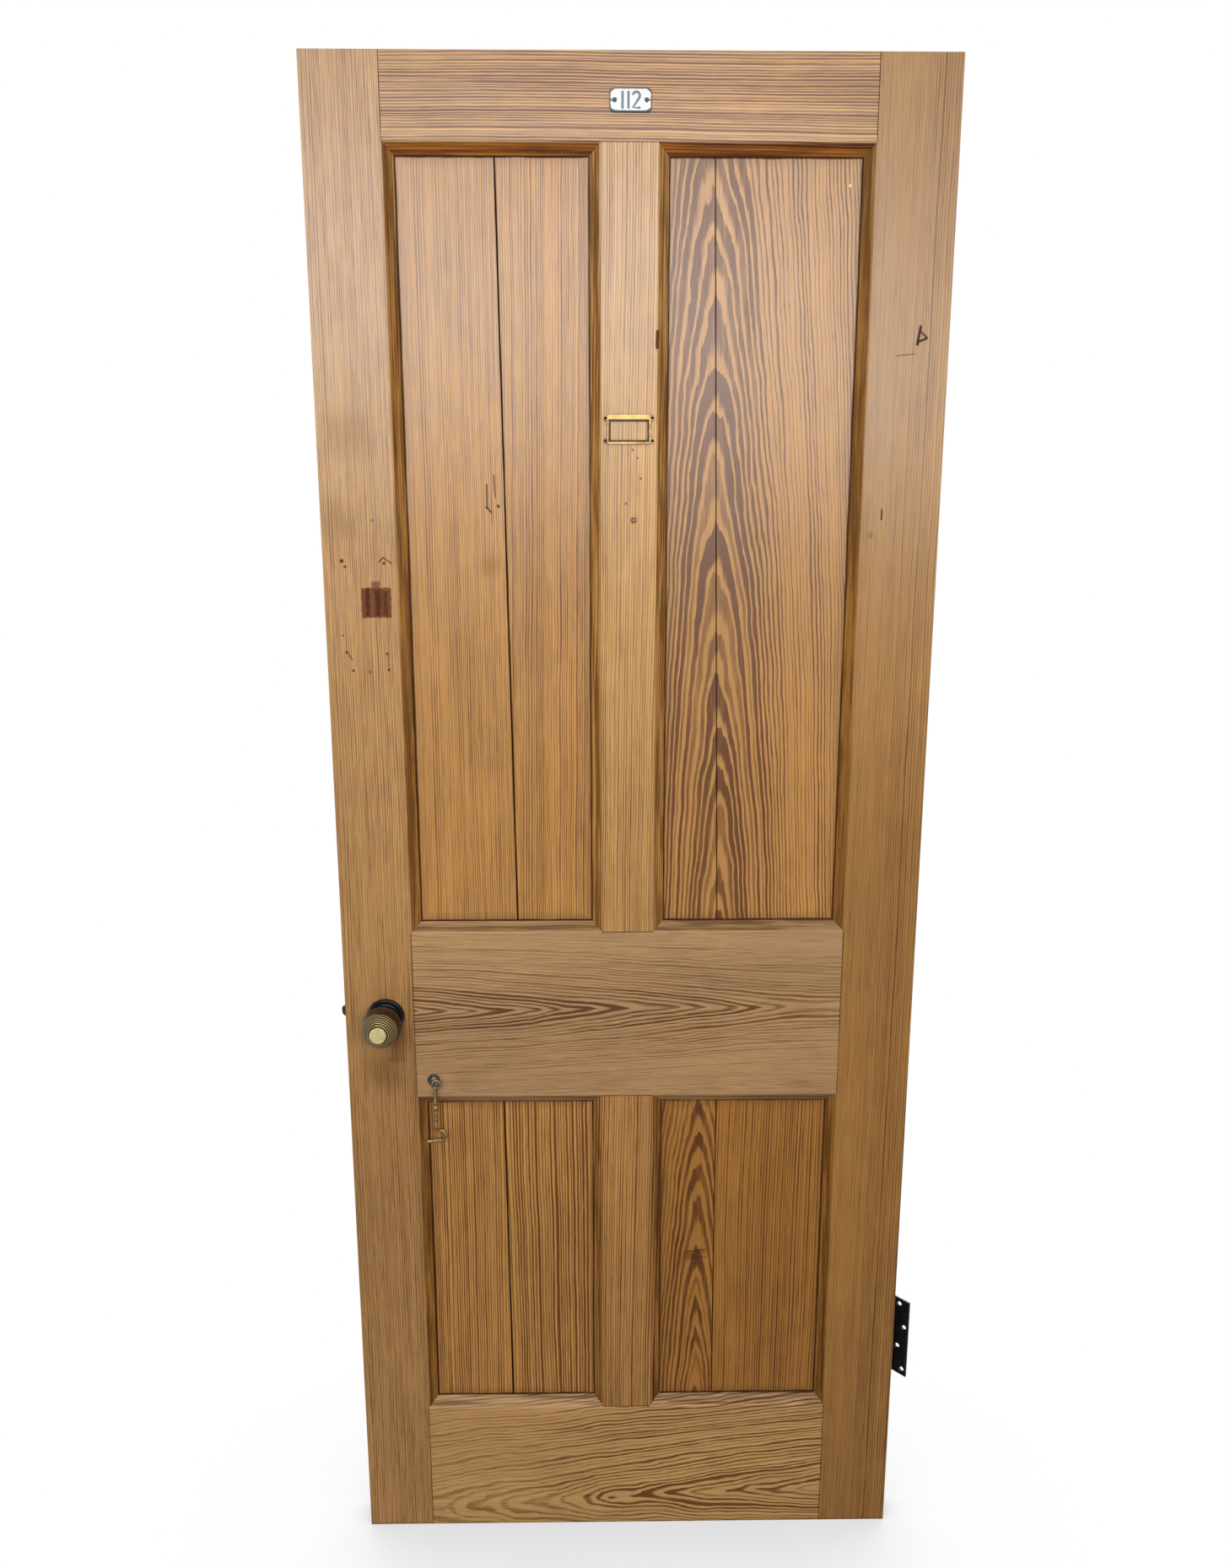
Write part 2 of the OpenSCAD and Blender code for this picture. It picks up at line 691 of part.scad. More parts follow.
module latch_case() {
    color([0.30, 0.29, 0.28]) difference() {
        translate([case_x, -case_t / 2, latch_z - case_h / 2]) cube([case_d, case_t - case_wall, case_h]);
        translate([case_x + case_wall, -case_t / 2 + case_wall, latch_z - case_h / 2 + case_wall])
            cube([case_d - 2 * case_wall, case_t, case_h - 2 * case_wall]);
        translate([case_x - 1, -bolt_t / 2 - slide_gap, latch_z - bolt_h / 2 - slide_gap])
            cube([case_wall + 2, bolt_t + 2 * slide_gap, bolt_h + 2 * slide_gap]);
        bore_y(latch_x, latch_z, journal_r + run_fit, -case_t, 0);
    }
}

module latch_cap() {
    color([0.32, 0.31, 0.30]) difference() {
        translate([case_x, case_t / 2 - case_wall, latch_z - case_h / 2]) cube([case_d, case_wall, case_h]);
        bore_y(latch_x, latch_z, journal_r + run_fit, 0, case_t);
    }
}

module latch_forend() {
    color([0.45, 0.38, 0.24]) difference() {
        translate([-edge_x, -forend_w / 2, latch_z - forend_h / 2]) cube([forend_t, forend_w, forend_h]);
        translate([-edge_x - 1, -bolt_t / 2 - slide_gap, latch_z - bolt_h / 2 - slide_gap])
            cube([forend_t + 2, bolt_t + 2 * slide_gap, bolt_h + 2 * slide_gap]);
        for (s = [-1, 1])
            translate([-edge_x, 0, latch_z + s * forend_screw_z()]) rotate([0, -90, 0])
                screw_hole(plate_screw_r + joint_gap, plate_screw_r + 1.9 + joint_gap, forend_t);
    }
}

module forend_screws() {
    color([0.50, 0.42, 0.26]) for (s = [-1, 1])
        translate([-edge_x, 0, latch_z + s * forend_screw_z()]) rotate([0, -90, 0])
            wood_screw(plate_screw_r, plate_screw_r + 1.9, 18);
}

// Bolt head bevelled towards the front, with the riser, tail and lug that the follower draws
module latch_bolt() {
    head_x = -edge_x - bolt_throw;
    head_l = bolt_end_x - head_x + 2 * bolt_round;
    color([0.36, 0.30, 0.20]) {
        intersection() {
            translate([0, 0, latch_z - bolt_h / 2 - 1]) linear_extrude(height = bolt_h + 2) polygon([
                [-edge_x - 0.8, -bolt_t / 2],
                [bolt_end_x, -bolt_t / 2],
                [bolt_end_x, bolt_t / 2],
                [head_x, bolt_t / 2],
                [head_x, bolt_t / 2 - 2]
            ]);
            slab(bolt_t + 2) translate([head_x + head_l / 2, latch_z]) rounded(head_l, bolt_h, bolt_round);
        }
        translate([bolt_end_x - riser_w, -bolt_t / 2, riser_foot])
            cube([riser_w, bolt_t, tail_low + tail_h - riser_foot]);
        translate([bolt_end_x - riser_w, -bolt_t / 2, tail_low])
            cube([lug_x + lug_w - bolt_end_x + riser_w, bolt_t, tail_h]);
        translate([lug_x, -bolt_t / 2, lug_low]) cube([lug_w, bolt_t, tail_low + tail_h - lug_low]);
    }
}

// Hub on two journals, with the nose that draws the bolt and the square for the spindle
module latch_follower() {
    color([0.52, 0.42, 0.24]) difference() {
        union() {
            bore_y(latch_x, latch_z, hub_r, -hub_t / 2, hub_t / 2);
            bore_y(latch_x, latch_z, journal_r, -case_t / 2, case_t / 2);
            translate([latch_x, 0, latch_z]) rotate([0, -knob_turn / 2, 0]) {
                translate([-arm_w / 2, -hub_t / 2 + 0.5, 0]) cube([arm_w, hub_t - 1, arm_r]);
                translate([0, -hub_t / 2 + 0.5, arm_r]) rotate([-90, 0, 0]) cylinder(r = nose_r, h = hub_t - 1);
            }
        }
        square_bar(spindle_s + 2 * spindle_fit, -case_t, case_t);
    }
}

// Square bar on the knob's axis
module square_bar(s, y0, y1) {
    translate([latch_x - s / 2, y0, latch_z - s / 2]) cube([s, y1 - y0, s]);
}

// Flat spring with one coil, footed in the case and bearing on the bolt's riser
module latch_spring() {
    reach = spring_x - bolt_end_x - 0.15;
    color([0.55, 0.55, 0.56]) difference() {
        union() {
            bore_y(spring_x, spring_z, spring_r + spring_t, -spring_w / 2, spring_w / 2);
            translate([spring_x - reach, -spring_w / 2, spring_z + spring_r]) cube([reach, spring_w, spring_t]);
            translate([spring_x, -spring_w / 2, spring_z - spring_r - spring_t])
                cube([case_x + case_d - case_wall - spring_x - 0.1, spring_w, spring_t]);
            translate([spring_x - reach, -spring_w / 2, spring_z + spring_r]) cube([spring_t, spring_w, 4]);
        }
        bore_y(spring_x, spring_z, spring_r, -spring_w, spring_w);
    }
}

module spindle() {
    color([0.40, 0.39, 0.38]) square_bar(spindle_s, -face_y - knob_out + 22, face_y + knob_out - 22);
}

// Half section of a knob, its height measured out from the door
// A smooth bell carries fine reeds around its end disc
module knob_section() {
    polygon([
        [0, rose_plate_t + 0.6],
        [neck_r, rose_plate_t + 0.6],
        [neck_r, rose_h + 6.5],
        [neck_r + 3, rose_h + 9],
        [knob_r - 8, knob_back],
        [knob_r - 8, knob_back + 1],
        [0, knob_back + 1]
    ]);
    intersection() {
        translate([knob_r - bell_r, knob_wide]) circle(r = bell_r);
        translate([0, knob_back]) square([knob_r + 1, knob_top - knob_back]);
    }
    for (i = [0:reed_n - 1])
        translate([knob_r - bell_r, knob_wide]) rotate([0, 0, reed_first - i * reed_turn])
            translate([bell_r - 0.35, 0]) circle(r = reed_r);
    polygon([
        [0, knob_top - 1],
        [disc_r, knob_top - 1],
        [disc_r, knob_out - 1],
        [disc_r - 1, knob_out],
        [0, knob_out]
    ]);
}

// Hole in the neck for the grub screw
module grub_bore(y) {
    translate([latch_x, y, latch_z - neck_r - 3]) cylinder(r = grub_r + joint_gap, h = neck_r + 3);
}

module front_knob() {
    color([0.55, 0.38, 0.16]) difference() {
        turned_front(latch_x, latch_z) knob_section();
        square_bar(spindle_s + 2 * spindle_fit, -face_y - knob_out + 21.5, 0);
        grub_bore(-face_y - grub_u);
    }
}

module back_knob() {
    color([0.55, 0.38, 0.16]) difference() {
        turned_back(latch_x, latch_z) knob_section();
        square_bar(spindle_s + 2 * spindle_fit, 0, face_y + knob_out - 21.5);
        grub_bore(face_y + grub_u);
    }
}

module knob_grub_screws() {
    color([0.25, 0.25, 0.26]) for (s = [-1, 1])
        translate([latch_x, s * (face_y + grub_u), latch_z - neck_r + 0.5])
            cylinder(r = grub_r, h = neck_r - 0.5 - spindle_s / 2 - spindle_fit);
}

// Half section of the stepped rose over its plate
module rose_section() {
    difference() {
        union() {
            square([rose_r, rose_h * 0.3]);
            square([rose_r - 2.2, rose_h * 0.5]);
            square([rose_r * 0.72, rose_h * 0.72]);
            square([neck_r + 4, rose_h]);
        }
        square([neck_r + slide_gap, 3 * rose_h]);
        translate([0, -1]) square([rose_r - 3.5, rose_plate_t + 1.05]);
    }
}

// Half section of the plate under a rose
module rose_plate_section() {
    translate([shank_hole_r + 0.5, 0]) square([rose_r - 3.55 - shank_hole_r - 0.5, rose_plate_t]);
}

module front_rose() {
    color([0.08, 0.07, 0.07]) turned_front(latch_x, latch_z) rose_section();
}

module back_rose() {
    color([0.08, 0.07, 0.07]) turned_back(latch_x, latch_z) rose_section();
}

module rose_plate_holes() {
    for (s = [-1, 1]) translate([s * rose_screw_x(), 0, rose_plate_t])
        screw_hole(rose_screw_r + joint_gap, rose_screw_r + 1.3 + joint_gap, rose_plate_t);
}

module front_rose_plate() {
    color([0.45, 0.44, 0.42]) translate([latch_x, -face_y, latch_z]) rotate([90, 0, 0]) difference() {
        rotate_extrude() rose_plate_section();
        rose_plate_holes();
    }
}

module back_rose_plate() {
    color([0.45, 0.44, 0.42]) translate([latch_x, face_y, latch_z]) rotate([-90, 0, 0]) difference() {
        rotate_extrude() rose_plate_section();
        rose_plate_holes();
    }
}

module rose_screws() {
    color([0.50, 0.48, 0.44]) for (s = [-1, 1], side = [-1, 1])
        translate([latch_x + s * rose_screw_x(), side * (face_y + rose_plate_t), latch_z])
            rotate([side * -90, 0, 0]) wood_screw(rose_screw_r, rose_screw_r + 1.3, rose_screw_l);
}

// Flap of a butt hinge about its pin, lying towards the front on the door's side of the pin
// The knuckles named in the list belong to it
module hinge_flap(own, bore) {
    difference() {
        union() {
            translate([-flap_gap / 2 - flap_t, -hinge_w, 0])
                cube([flap_t, hinge_w - knuckle_r - 0.6, hinge_h]);
            for (k = own) {
                translate([-flap_gap / 2 - flap_t, -knuckle_r - 0.7, k * knuckle_l + knuckle_gap / 2])
                    cube([flap_t, knuckle_r + 0.7, knuckle_l - knuckle_gap]);
                translate([0, 0, k * knuckle_l + knuckle_gap / 2])
                    cylinder(r = knuckle_r, h = knuckle_l - knuckle_gap);
            }
        }
        translate([0, 0, -1]) cylinder(r = bore, h = hinge_h + 2);
        for (i = [0:3])
            translate([-flap_gap / 2, -hole_y(i), hole_h(i)]) rotate([0, 90, 0])
                screw_hole(hinge_hole_r, hinge_sink_r, flap_t);
    }
}

module door_flap(z0) {
    color([0.07, 0.07, 0.07]) translate([pin_x, pin_y, z0]) hinge_flap([0, 2, 4], pin_r + 0.01);
}

module frame_flap(z0, open) {
    color([0.07, 0.07, 0.07]) translate([pin_x, pin_y, z0]) rotate([0, 0, open]) mirror([1, 0, 0])
        hinge_flap([1, 3], pin_r + run_fit);
}

module hinge_pin(z0) {
    color([0.10, 0.10, 0.10]) translate([pin_x, pin_y, z0]) cylinder(r = pin_r, h = hinge_h);
}

module upper_hinge_door_flap() {
    door_flap(upper_hinge_z);
}

module upper_hinge_frame_flap() {
    frame_flap(upper_hinge_z, upper_flap_open);
}

module upper_hinge_pin() {
    hinge_pin(upper_hinge_z);
}

module lower_hinge_door_flap() {
    door_flap(lower_hinge_z);
}

module lower_hinge_frame_flap() {
    frame_flap(lower_hinge_z, flap_open);
}

module lower_hinge_pin() {
    hinge_pin(lower_hinge_z);
}

module hinge_screws() {
    color([0.12, 0.12, 0.12]) for (z0 = [lower_hinge_z, upper_hinge_z], i = [0:3])
        translate([edge_x - 0.1, pin_y - hole_y(i), z0 + hole_h(i)]) rotate([0, 90, 0])
            wood_screw(hinge_screw_r, hinge_sink_r - 0.3, hinge_screw_l);
}

// Flat plate with rounded corners, drawn about its middle
module rounded(w, h, r) {
    square([w - 2 * r, h], center = true);
    square([w, h - 2 * r], center = true);
    for (sx = [-1, 1], sy = [-1, 1]) translate([sx * (w / 2 - r), sy * (h / 2 - r)]) circle(r = r);
}

// Pin with a low domed head, its shank going down from z = 0
module tack() {
    rotate_extrude() polygon([
        [0, tack_head_r * 0.6],
        [tack_head_r * 0.55, tack_head_r * 0.48],
        [tack_head_r, 0],
        [tack_r, 0],
        [tack_r, -tack_l + tack_r * 2],
        [0, -tack_l]
    ]);
}

module number_plate() {
    color([0.86, 0.86, 0.84]) translate([plate_x, -face_y, plate_z]) rotate([90, 0, 0])
        linear_extrude(height = plate_t) difference() {
            rounded(plate_w, plate_h, plate_corner);
            for (s = [-1, 1]) translate([s * plate_pins / 2, 0]) circle(r = tack_bore_r);
        }
}

module number_plate_pins() {
    color([0.10, 0.10, 0.10]) for (s = [-1, 1])
        translate([plate_x + s * plate_pins / 2, -face_y - plate_t, plate_z]) rotate([90, 0, 0]) tack();
}

// Frame with a window, four ears and, behind its front, a slot open at the lock side for the card
module card_frame() {
    slot_h = card_window_h + 2 * card_lap;
    lip_t = 0.3 * (card_t - card_slot_t);
    color([0.62, 0.50, 0.24]) translate([mid_x, -face_y, card_z]) rotate([90, 0, 0]) difference() {
        linear_extrude(height = card_t) difference() {
            union() {
                rounded(card_w, card_h, 1.5);
                for (sx = [-1, 1], sz = [-1, 1]) translate([0, sz * card_pins_z / 2]) {
                    translate([sx * card_pins_x / 2, 0]) circle(r = card_ear_r);
                    translate([sx * card_pins_x / 4, 0])
                        square([card_pins_x / 2, 1.6 * card_ear_r], center = true);
                }
            }
            translate([0, -card_window_drop]) square([card_window_w, card_window_h], center = true);
            for (sx = [-1, 1], sz = [-1, 1])
                translate([sx * card_pins_x / 2, sz * card_pins_z / 2]) circle(r = tack_bore_r);
        }
        translate([-card_w / 2 - 1, -card_window_drop - slot_h / 2, -1])
            cube([card_w / 2 + 1 + card_window_w / 2 + card_lap, slot_h, card_slot_t + 1]);
        translate([0, -card_window_drop, card_slot_t + lip_t]) linear_extrude(height = card_t)
            square([card_window_w + 2 * card_lip, card_window_h + 2 * card_lip], center = true);
    }
}

module card_frame_pins() {
    color([0.50, 0.40, 0.20]) for (sx = [-1, 1], sz = [-1, 1])
        translate([mid_x + sx * card_pins_x / 2, -face_y - card_t, card_z + sz * card_pins_z / 2])
            rotate([90, 0, 0]) tack();
}

// Cap of a ball, standing on z = 0
module ball_cap(r, h) {
    ball_r = (r * r + h * h) / (2 * h);
    intersection() {
        translate([0, 0, h - ball_r]) sphere(r = ball_r);
        cylinder(r = r + 1, h = h + 1);
    }
}

// Domed base with a wood screw behind and, beside its middle, the stud that the hook turns on
module hook_stud() {
    color([0.20, 0.20, 0.20]) {
        turned_front(hook_x, hook_z) polygon([
            [0, -stud_screw_l],
            [2.5, -stud_screw_l + 4],
            [2.5, 0.5],
            [0, 0.5]
        ]);
        translate([hook_x, -face_y, hook_z]) rotate([90, 0, 0]) ball_cap(hook_base_r, hook_base_t);
        turned_front(stud_x, stud_z) polygon([
            [0, 0.5],
            [stud_r, 0.5],
            [stud_r, hook_base_t + stud_l],
            [stud_r - 0.8, hook_base_t + stud_l],
            [stud_r - 0.8, hook_base_t + stud_l + dome_h / 2],
            [0, hook_base_t + stud_l + dome_h / 2]
        ]);
    }
}

// Small domed cap riveted over the stud's end
module hook_cap() {
    color([0.20, 0.20, 0.20]) translate([stud_x, -face_y - hook_base_t - stud_l, stud_z]) rotate([90, 0, 0])
        difference() {
            ball_cap(dome_r, dome_h);
            translate([0, 0, -1]) cylinder(r = stud_r - 0.8 + joint_gap, h = dome_h / 2 + 1 + joint_gap);
        }
}

// A bend of the hook's rod, a hair thinner than the straight lengths that run into it
module rod_arc(r, a0, a1) {
    rotate([90, 0, 0]) rotate([0, 0, a0]) rotate_extrude(angle = a1 - a0) translate([r, 0]) circle(r = rod_r - 0.1);
}

// Hook hanging from its stud: eye, rod with a turned knop, double bend and peg
module cabin_hook() {
    eye_z = stud_z - eye_hang;
    rod_x = hook_x + rod_set;
    rod_top = eye_z - sqrt(hook_eye_r * hook_eye_r - (rod_x - stud_x) * (rod_x - stud_x));
    bend_z = hook_z - rod_drop;
    crook_x = rod_x + bend_r + 2;
    crook_z = bend_z - bend_r - crook_r;
    lap = 0.4;
    color([0.50, 0.40, 0.20]) translate([0, hook_y - rod_r, 0]) {
        translate([stud_x, 0, eye_z]) rotate([90, 0, 0]) rotate_extrude()
            translate([hook_eye_r, 0]) circle(r = eye_wire_r);
        translate([rod_x, 0, bend_z - lap]) cylinder(r = rod_r, h = rod_top - bend_z + lap);
        translate([rod_x, 0, hook_z - knop_drop]) sphere(r = knop_r);
        for (s = [-1, 1])
            translate([rod_x, 0, hook_z - knop_drop + s * (knop_r + 1)])
                cylinder(r = rod_r + 0.6, h = 1.6, center = true);
        translate([rod_x + bend_r, 0, bend_z]) rod_arc(bend_r, 180, 270);
        translate([rod_x + bend_r - lap, 0, bend_z - bend_r]) rotate([0, 90, 0])
            cylinder(r = rod_r, h = 2 + 2 * lap);
        translate([crook_x, 0, crook_z]) {
            rod_arc(crook_r, -90 + peg_slope, 90);
            rotate([0, -peg_slope, 0]) translate([lap, 0, -crook_r]) rotate([0, -90, 0])
                rotate_extrude() polygon([
                    [0, 0],
                    [rod_r, 0],
                    [rod_r, peg_l + lap],
                    [rod_r - 1, peg_l + lap + 1.6],
                    [0, peg_l + lap + 1.6]
                ]);
        }
    }
}

lock_stile();
hanging_stile();
top_rail();
lock_rail();
bottom_rail();
upper_muntin();
lower_muntin();
upper_left_board_a();
upper_left_board_b();
upper_right_board_a();
upper_right_board_b();
lower_left_board_a();
lower_left_board_b();
lower_right_board_a();
lower_right_board_b();
tenon_wedges();
latch_case();
latch_cap();
latch_forend();
forend_screws();
latch_bolt();
latch_follower();
latch_spring();
spindle();
front_knob();
back_knob();
knob_grub_screws();
front_rose();
back_rose();
front_rose_plate();
back_rose_plate();
rose_screws();
upper_hinge_door_flap();
upper_hinge_frame_flap();
upper_hinge_pin();
lower_hinge_door_flap();
lower_hinge_frame_flap();
lower_hinge_pin();
hinge_screws();
number_plate();
number_plate_pins();
card_frame();
card_frame_pins();
hook_stud();
hook_cap();
cabin_hook();
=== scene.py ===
import bpy
import math
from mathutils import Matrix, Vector
from types import SimpleNamespace


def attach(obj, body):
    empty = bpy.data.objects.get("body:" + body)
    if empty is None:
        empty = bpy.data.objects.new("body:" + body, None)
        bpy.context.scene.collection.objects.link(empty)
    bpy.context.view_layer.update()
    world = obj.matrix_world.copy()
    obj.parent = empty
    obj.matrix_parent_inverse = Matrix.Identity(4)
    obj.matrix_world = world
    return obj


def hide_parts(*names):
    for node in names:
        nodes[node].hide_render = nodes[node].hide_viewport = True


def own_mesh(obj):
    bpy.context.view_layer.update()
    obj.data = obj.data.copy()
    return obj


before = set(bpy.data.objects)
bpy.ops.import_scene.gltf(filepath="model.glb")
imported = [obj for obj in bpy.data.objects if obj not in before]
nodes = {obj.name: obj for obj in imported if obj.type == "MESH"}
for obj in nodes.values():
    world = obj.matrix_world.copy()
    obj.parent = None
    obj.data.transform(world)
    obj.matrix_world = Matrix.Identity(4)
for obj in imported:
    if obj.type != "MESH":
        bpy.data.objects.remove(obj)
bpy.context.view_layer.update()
scene = bpy.context.scene


# Helpers for colours and shader nodes

def srgb(r, g, b):
    """Screen colour in 0 to 255 as the linear colour a shader takes."""
    out = []
    for c in (r, g, b):
        c /= 255.0
        out.append(c / 12.92 if c <= 0.04045 else ((c + 0.055) / 1.055) ** 2.4)
    return (out[0], out[1], out[2], 1.0)


def opaque(rgb):
    """A linear colour with full alpha."""
    return (rgb[0], rgb[1], rgb[2], 1.0)


class Graph:
    """Short names for the shader nodes that the finishes are made of."""

    def __init__(self, name):
        self.mat = bpy.data.materials.new(name)
        self.mat.use_nodes = True
        self.tree = self.mat.node_tree
        self.tree.nodes.clear()
        self.out = self.tree.nodes.new("ShaderNodeOutputMaterial")
        self.bsdf = self.tree.nodes.new("ShaderNodeBsdfPrincipled")
        self.tree.links.new(self.bsdf.outputs[0], self.out.inputs[0])
        coord = self.tree.nodes.new("ShaderNodeTexCoord")
        parts = self.tree.nodes.new("ShaderNodeSeparateXYZ")
        self.tree.links.new(coord.outputs["Object"], parts.inputs[0])
        self.co = coord.outputs["Object"]
        self.x, self.y, self.z = parts.outputs[0], parts.outputs[1], parts.outputs[2]

    def put(self, socket, value):
        """Links a socket to another one, or sets it to a plain value."""
        if isinstance(value, bpy.types.NodeSocket):
            self.tree.links.new(value, socket)
        else:
            socket.default_value = value

    def math(self, op, a, b=None, c=None):
        n = self.tree.nodes.new("ShaderNodeMath")
        n.operation = op
        for i, v in enumerate((a, b, c)):
            if v is not None:
                self.put(n.inputs[i], v)
        return n.outputs[0]

    def add(self, a, b):
        return self.math("ADD", a, b)

    def sub(self, a, b):
        return self.math("SUBTRACT", a, b)

    def mul(self, a, b):
        return self.math("MULTIPLY", a, b)

    def most(self, a, b):
        return self.math("MAXIMUM", a, b)

    def least(self, a, b):
        return self.math("MINIMUM", a, b)

    def abs(self, a):
        return self.math("ABSOLUTE", a)

    def hypot(self, a, b):
        return self.math("SQRT", self.add(self.mul(a, a), self.mul(b, b)))

    def step(self, v, lo, hi, a=0.0, b=1.0):
        """Smooth change from a to b while v goes from lo to hi."""
        n = self.tree.nodes.new("ShaderNodeMapRange")
        n.interpolation_type = "SMOOTHSTEP"
        for i, w in enumerate((v, lo, hi, a, b)):
            self.put(n.inputs[i], w)
        return n.outputs[0]

    def fall(self, v, lo, hi, top=1.0):
        """Smooth fall from top to nothing while v goes from lo to hi."""
        return self.step(v, lo, hi, top, 0.0)

    def vec(self, a, b, c):
        n = self.tree.nodes.new("ShaderNodeCombineXYZ")
        for i, v in enumerate((a, b, c)):
            self.put(n.inputs[i], v)
        return n.outputs[0]

    def noise(self, vector, scale=1.0, detail=2.0, rough=0.5):
        n = self.tree.nodes.new("ShaderNodeTexNoise")
        self.put(n.inputs["Vector"], vector)
        n.inputs["Scale"].default_value = scale
        n.inputs["Detail"].default_value = detail
        n.inputs["Roughness"].default_value = rough
        return n.outputs[0]

    def chance(self, value):
        """One random number for each whole value."""
        n = self.tree.nodes.new("ShaderNodeTexWhiteNoise")
        n.noise_dimensions = "1D"
        self.put(n.inputs["W"], value)
        return n.outputs["Value"]

    def mix(self, fac, a, b, mode="MIX"):
        n = self.tree.nodes.new("ShaderNodeMix")
        n.data_type = "RGBA"
        n.blend_type = mode
        n.clamp_factor = True
        self.put(n.inputs[0], fac)
        self.put(n.inputs[6], a)
        self.put(n.inputs[7], b)
        return n.outputs[2]

    def times(self, a, b):
        """Two colours multiplied."""
        return self.mix(1.0, a, b, "MULTIPLY")

    def grey(self, value):
        """A value as a grey colour, for multiplying."""
        n = self.tree.nodes.new("ShaderNodeCombineColor")
        for i in range(3):
            self.put(n.inputs[i], value)
        return n.outputs[0]

    def crevice(self, distance, samples=6):
        """How open a point is to its surroundings: 1 in the open, 0 deep in a gap."""
        n = self.tree.nodes.new("ShaderNodeAmbientOcclusion")
        n.samples = samples
        n.inputs["Distance"].default_value = distance
        return n.outputs["AO"]

    def bump(self, height, strength, distance):
        n = self.tree.nodes.new("ShaderNodeBump")
        n.inputs["Strength"].default_value = strength
        n.inputs["Distance"].default_value = distance
        self.put(n.inputs["Height"], height)
        self.put(self.bsdf.inputs["Normal"], n.outputs[0])

    def set(self, **values):
        """Sets inputs of the surface shader by name, with _ for a space."""
        for key, v in values.items():
            self.put(self.bsdf.inputs[key.replace("_", " ")], v)

    def base(self):
        """The colour that the finish has so far."""
        return self.bsdf.inputs["Base Color"].links[0].from_socket


def dress(name, mat):
    """Gives a CAD node its finish."""
    nodes[name].data.materials.clear()
    nodes[name].data.materials.append(mat)


# Marks on the front of the wood, in millimetres

RAGGED_SCALE = 260.0
SCRATCH_CORE = 0.3


def metres(*sizes):
    """Millimetres as metres."""
    return [size / 1000 for size in sizes]


def mark_spot(x, z, radius, shade, strength=0.9, soft=0.5):
    """A round mark."""
    x, z, radius = metres(x, z, radius)

    def paint(g):
        off = g.hypot(g.sub(g.x, x), g.sub(g.z, z))
        return g.fall(off, radius * (1 - soft), radius * (1 + soft)), shade, strength
    return paint


def mark_line(x0, z0, x1, z1, width, shade, strength=0.9):
    """A straight scratch."""
    x0, z0, x1, z1, width = metres(x0, z0, x1, z1, width)
    length = math.hypot(x1 - x0, z1 - z0)
    ux, uz = (x1 - x0) / length, (z1 - z0) / length

    def paint(g):
        dx = g.sub(g.x, x0)
        dz = g.sub(g.z, z0)
        run = g.add(g.mul(dx, ux), g.mul(dz, uz))
        run = g.least(g.most(run, 0.0), length)
        off = g.hypot(g.sub(dx, g.mul(run, ux)), g.sub(dz, g.mul(run, uz)))
        return g.fall(off, width * SCRATCH_CORE, width), shade, strength
    return paint


def mark_box(x0, x1, z0, z1, soft, ragged, shade, strength):
    """An upright rectangle with a soft and uneven edge."""
    x0, x1, z0, z1, soft, ragged = metres(x0, x1, z0, z1, soft, ragged)

    def paint(g):
        shift = g.mul(g.sub(g.noise(g.co, RAGGED_SCALE, 2.0), 0.5), ragged)
        inside = []
        for axis, start, end in ((g.x, x0, x1), (g.z, z0, z1)):
            place = g.add(axis, shift)
            past_start = g.step(place, start - soft, start + soft)
            inside.append(g.mul(past_start, g.fall(place, end - soft, end + soft)))
        return g.mul(*inside), shade, strength
    return paint


HOLE = srgb(40, 22, 12)
SCRATCH = srgb(96, 54, 26)
DENT = srgb(110, 66, 36)
SPECK = srgb(80, 46, 26)
DULL = srgb(120, 84, 58)

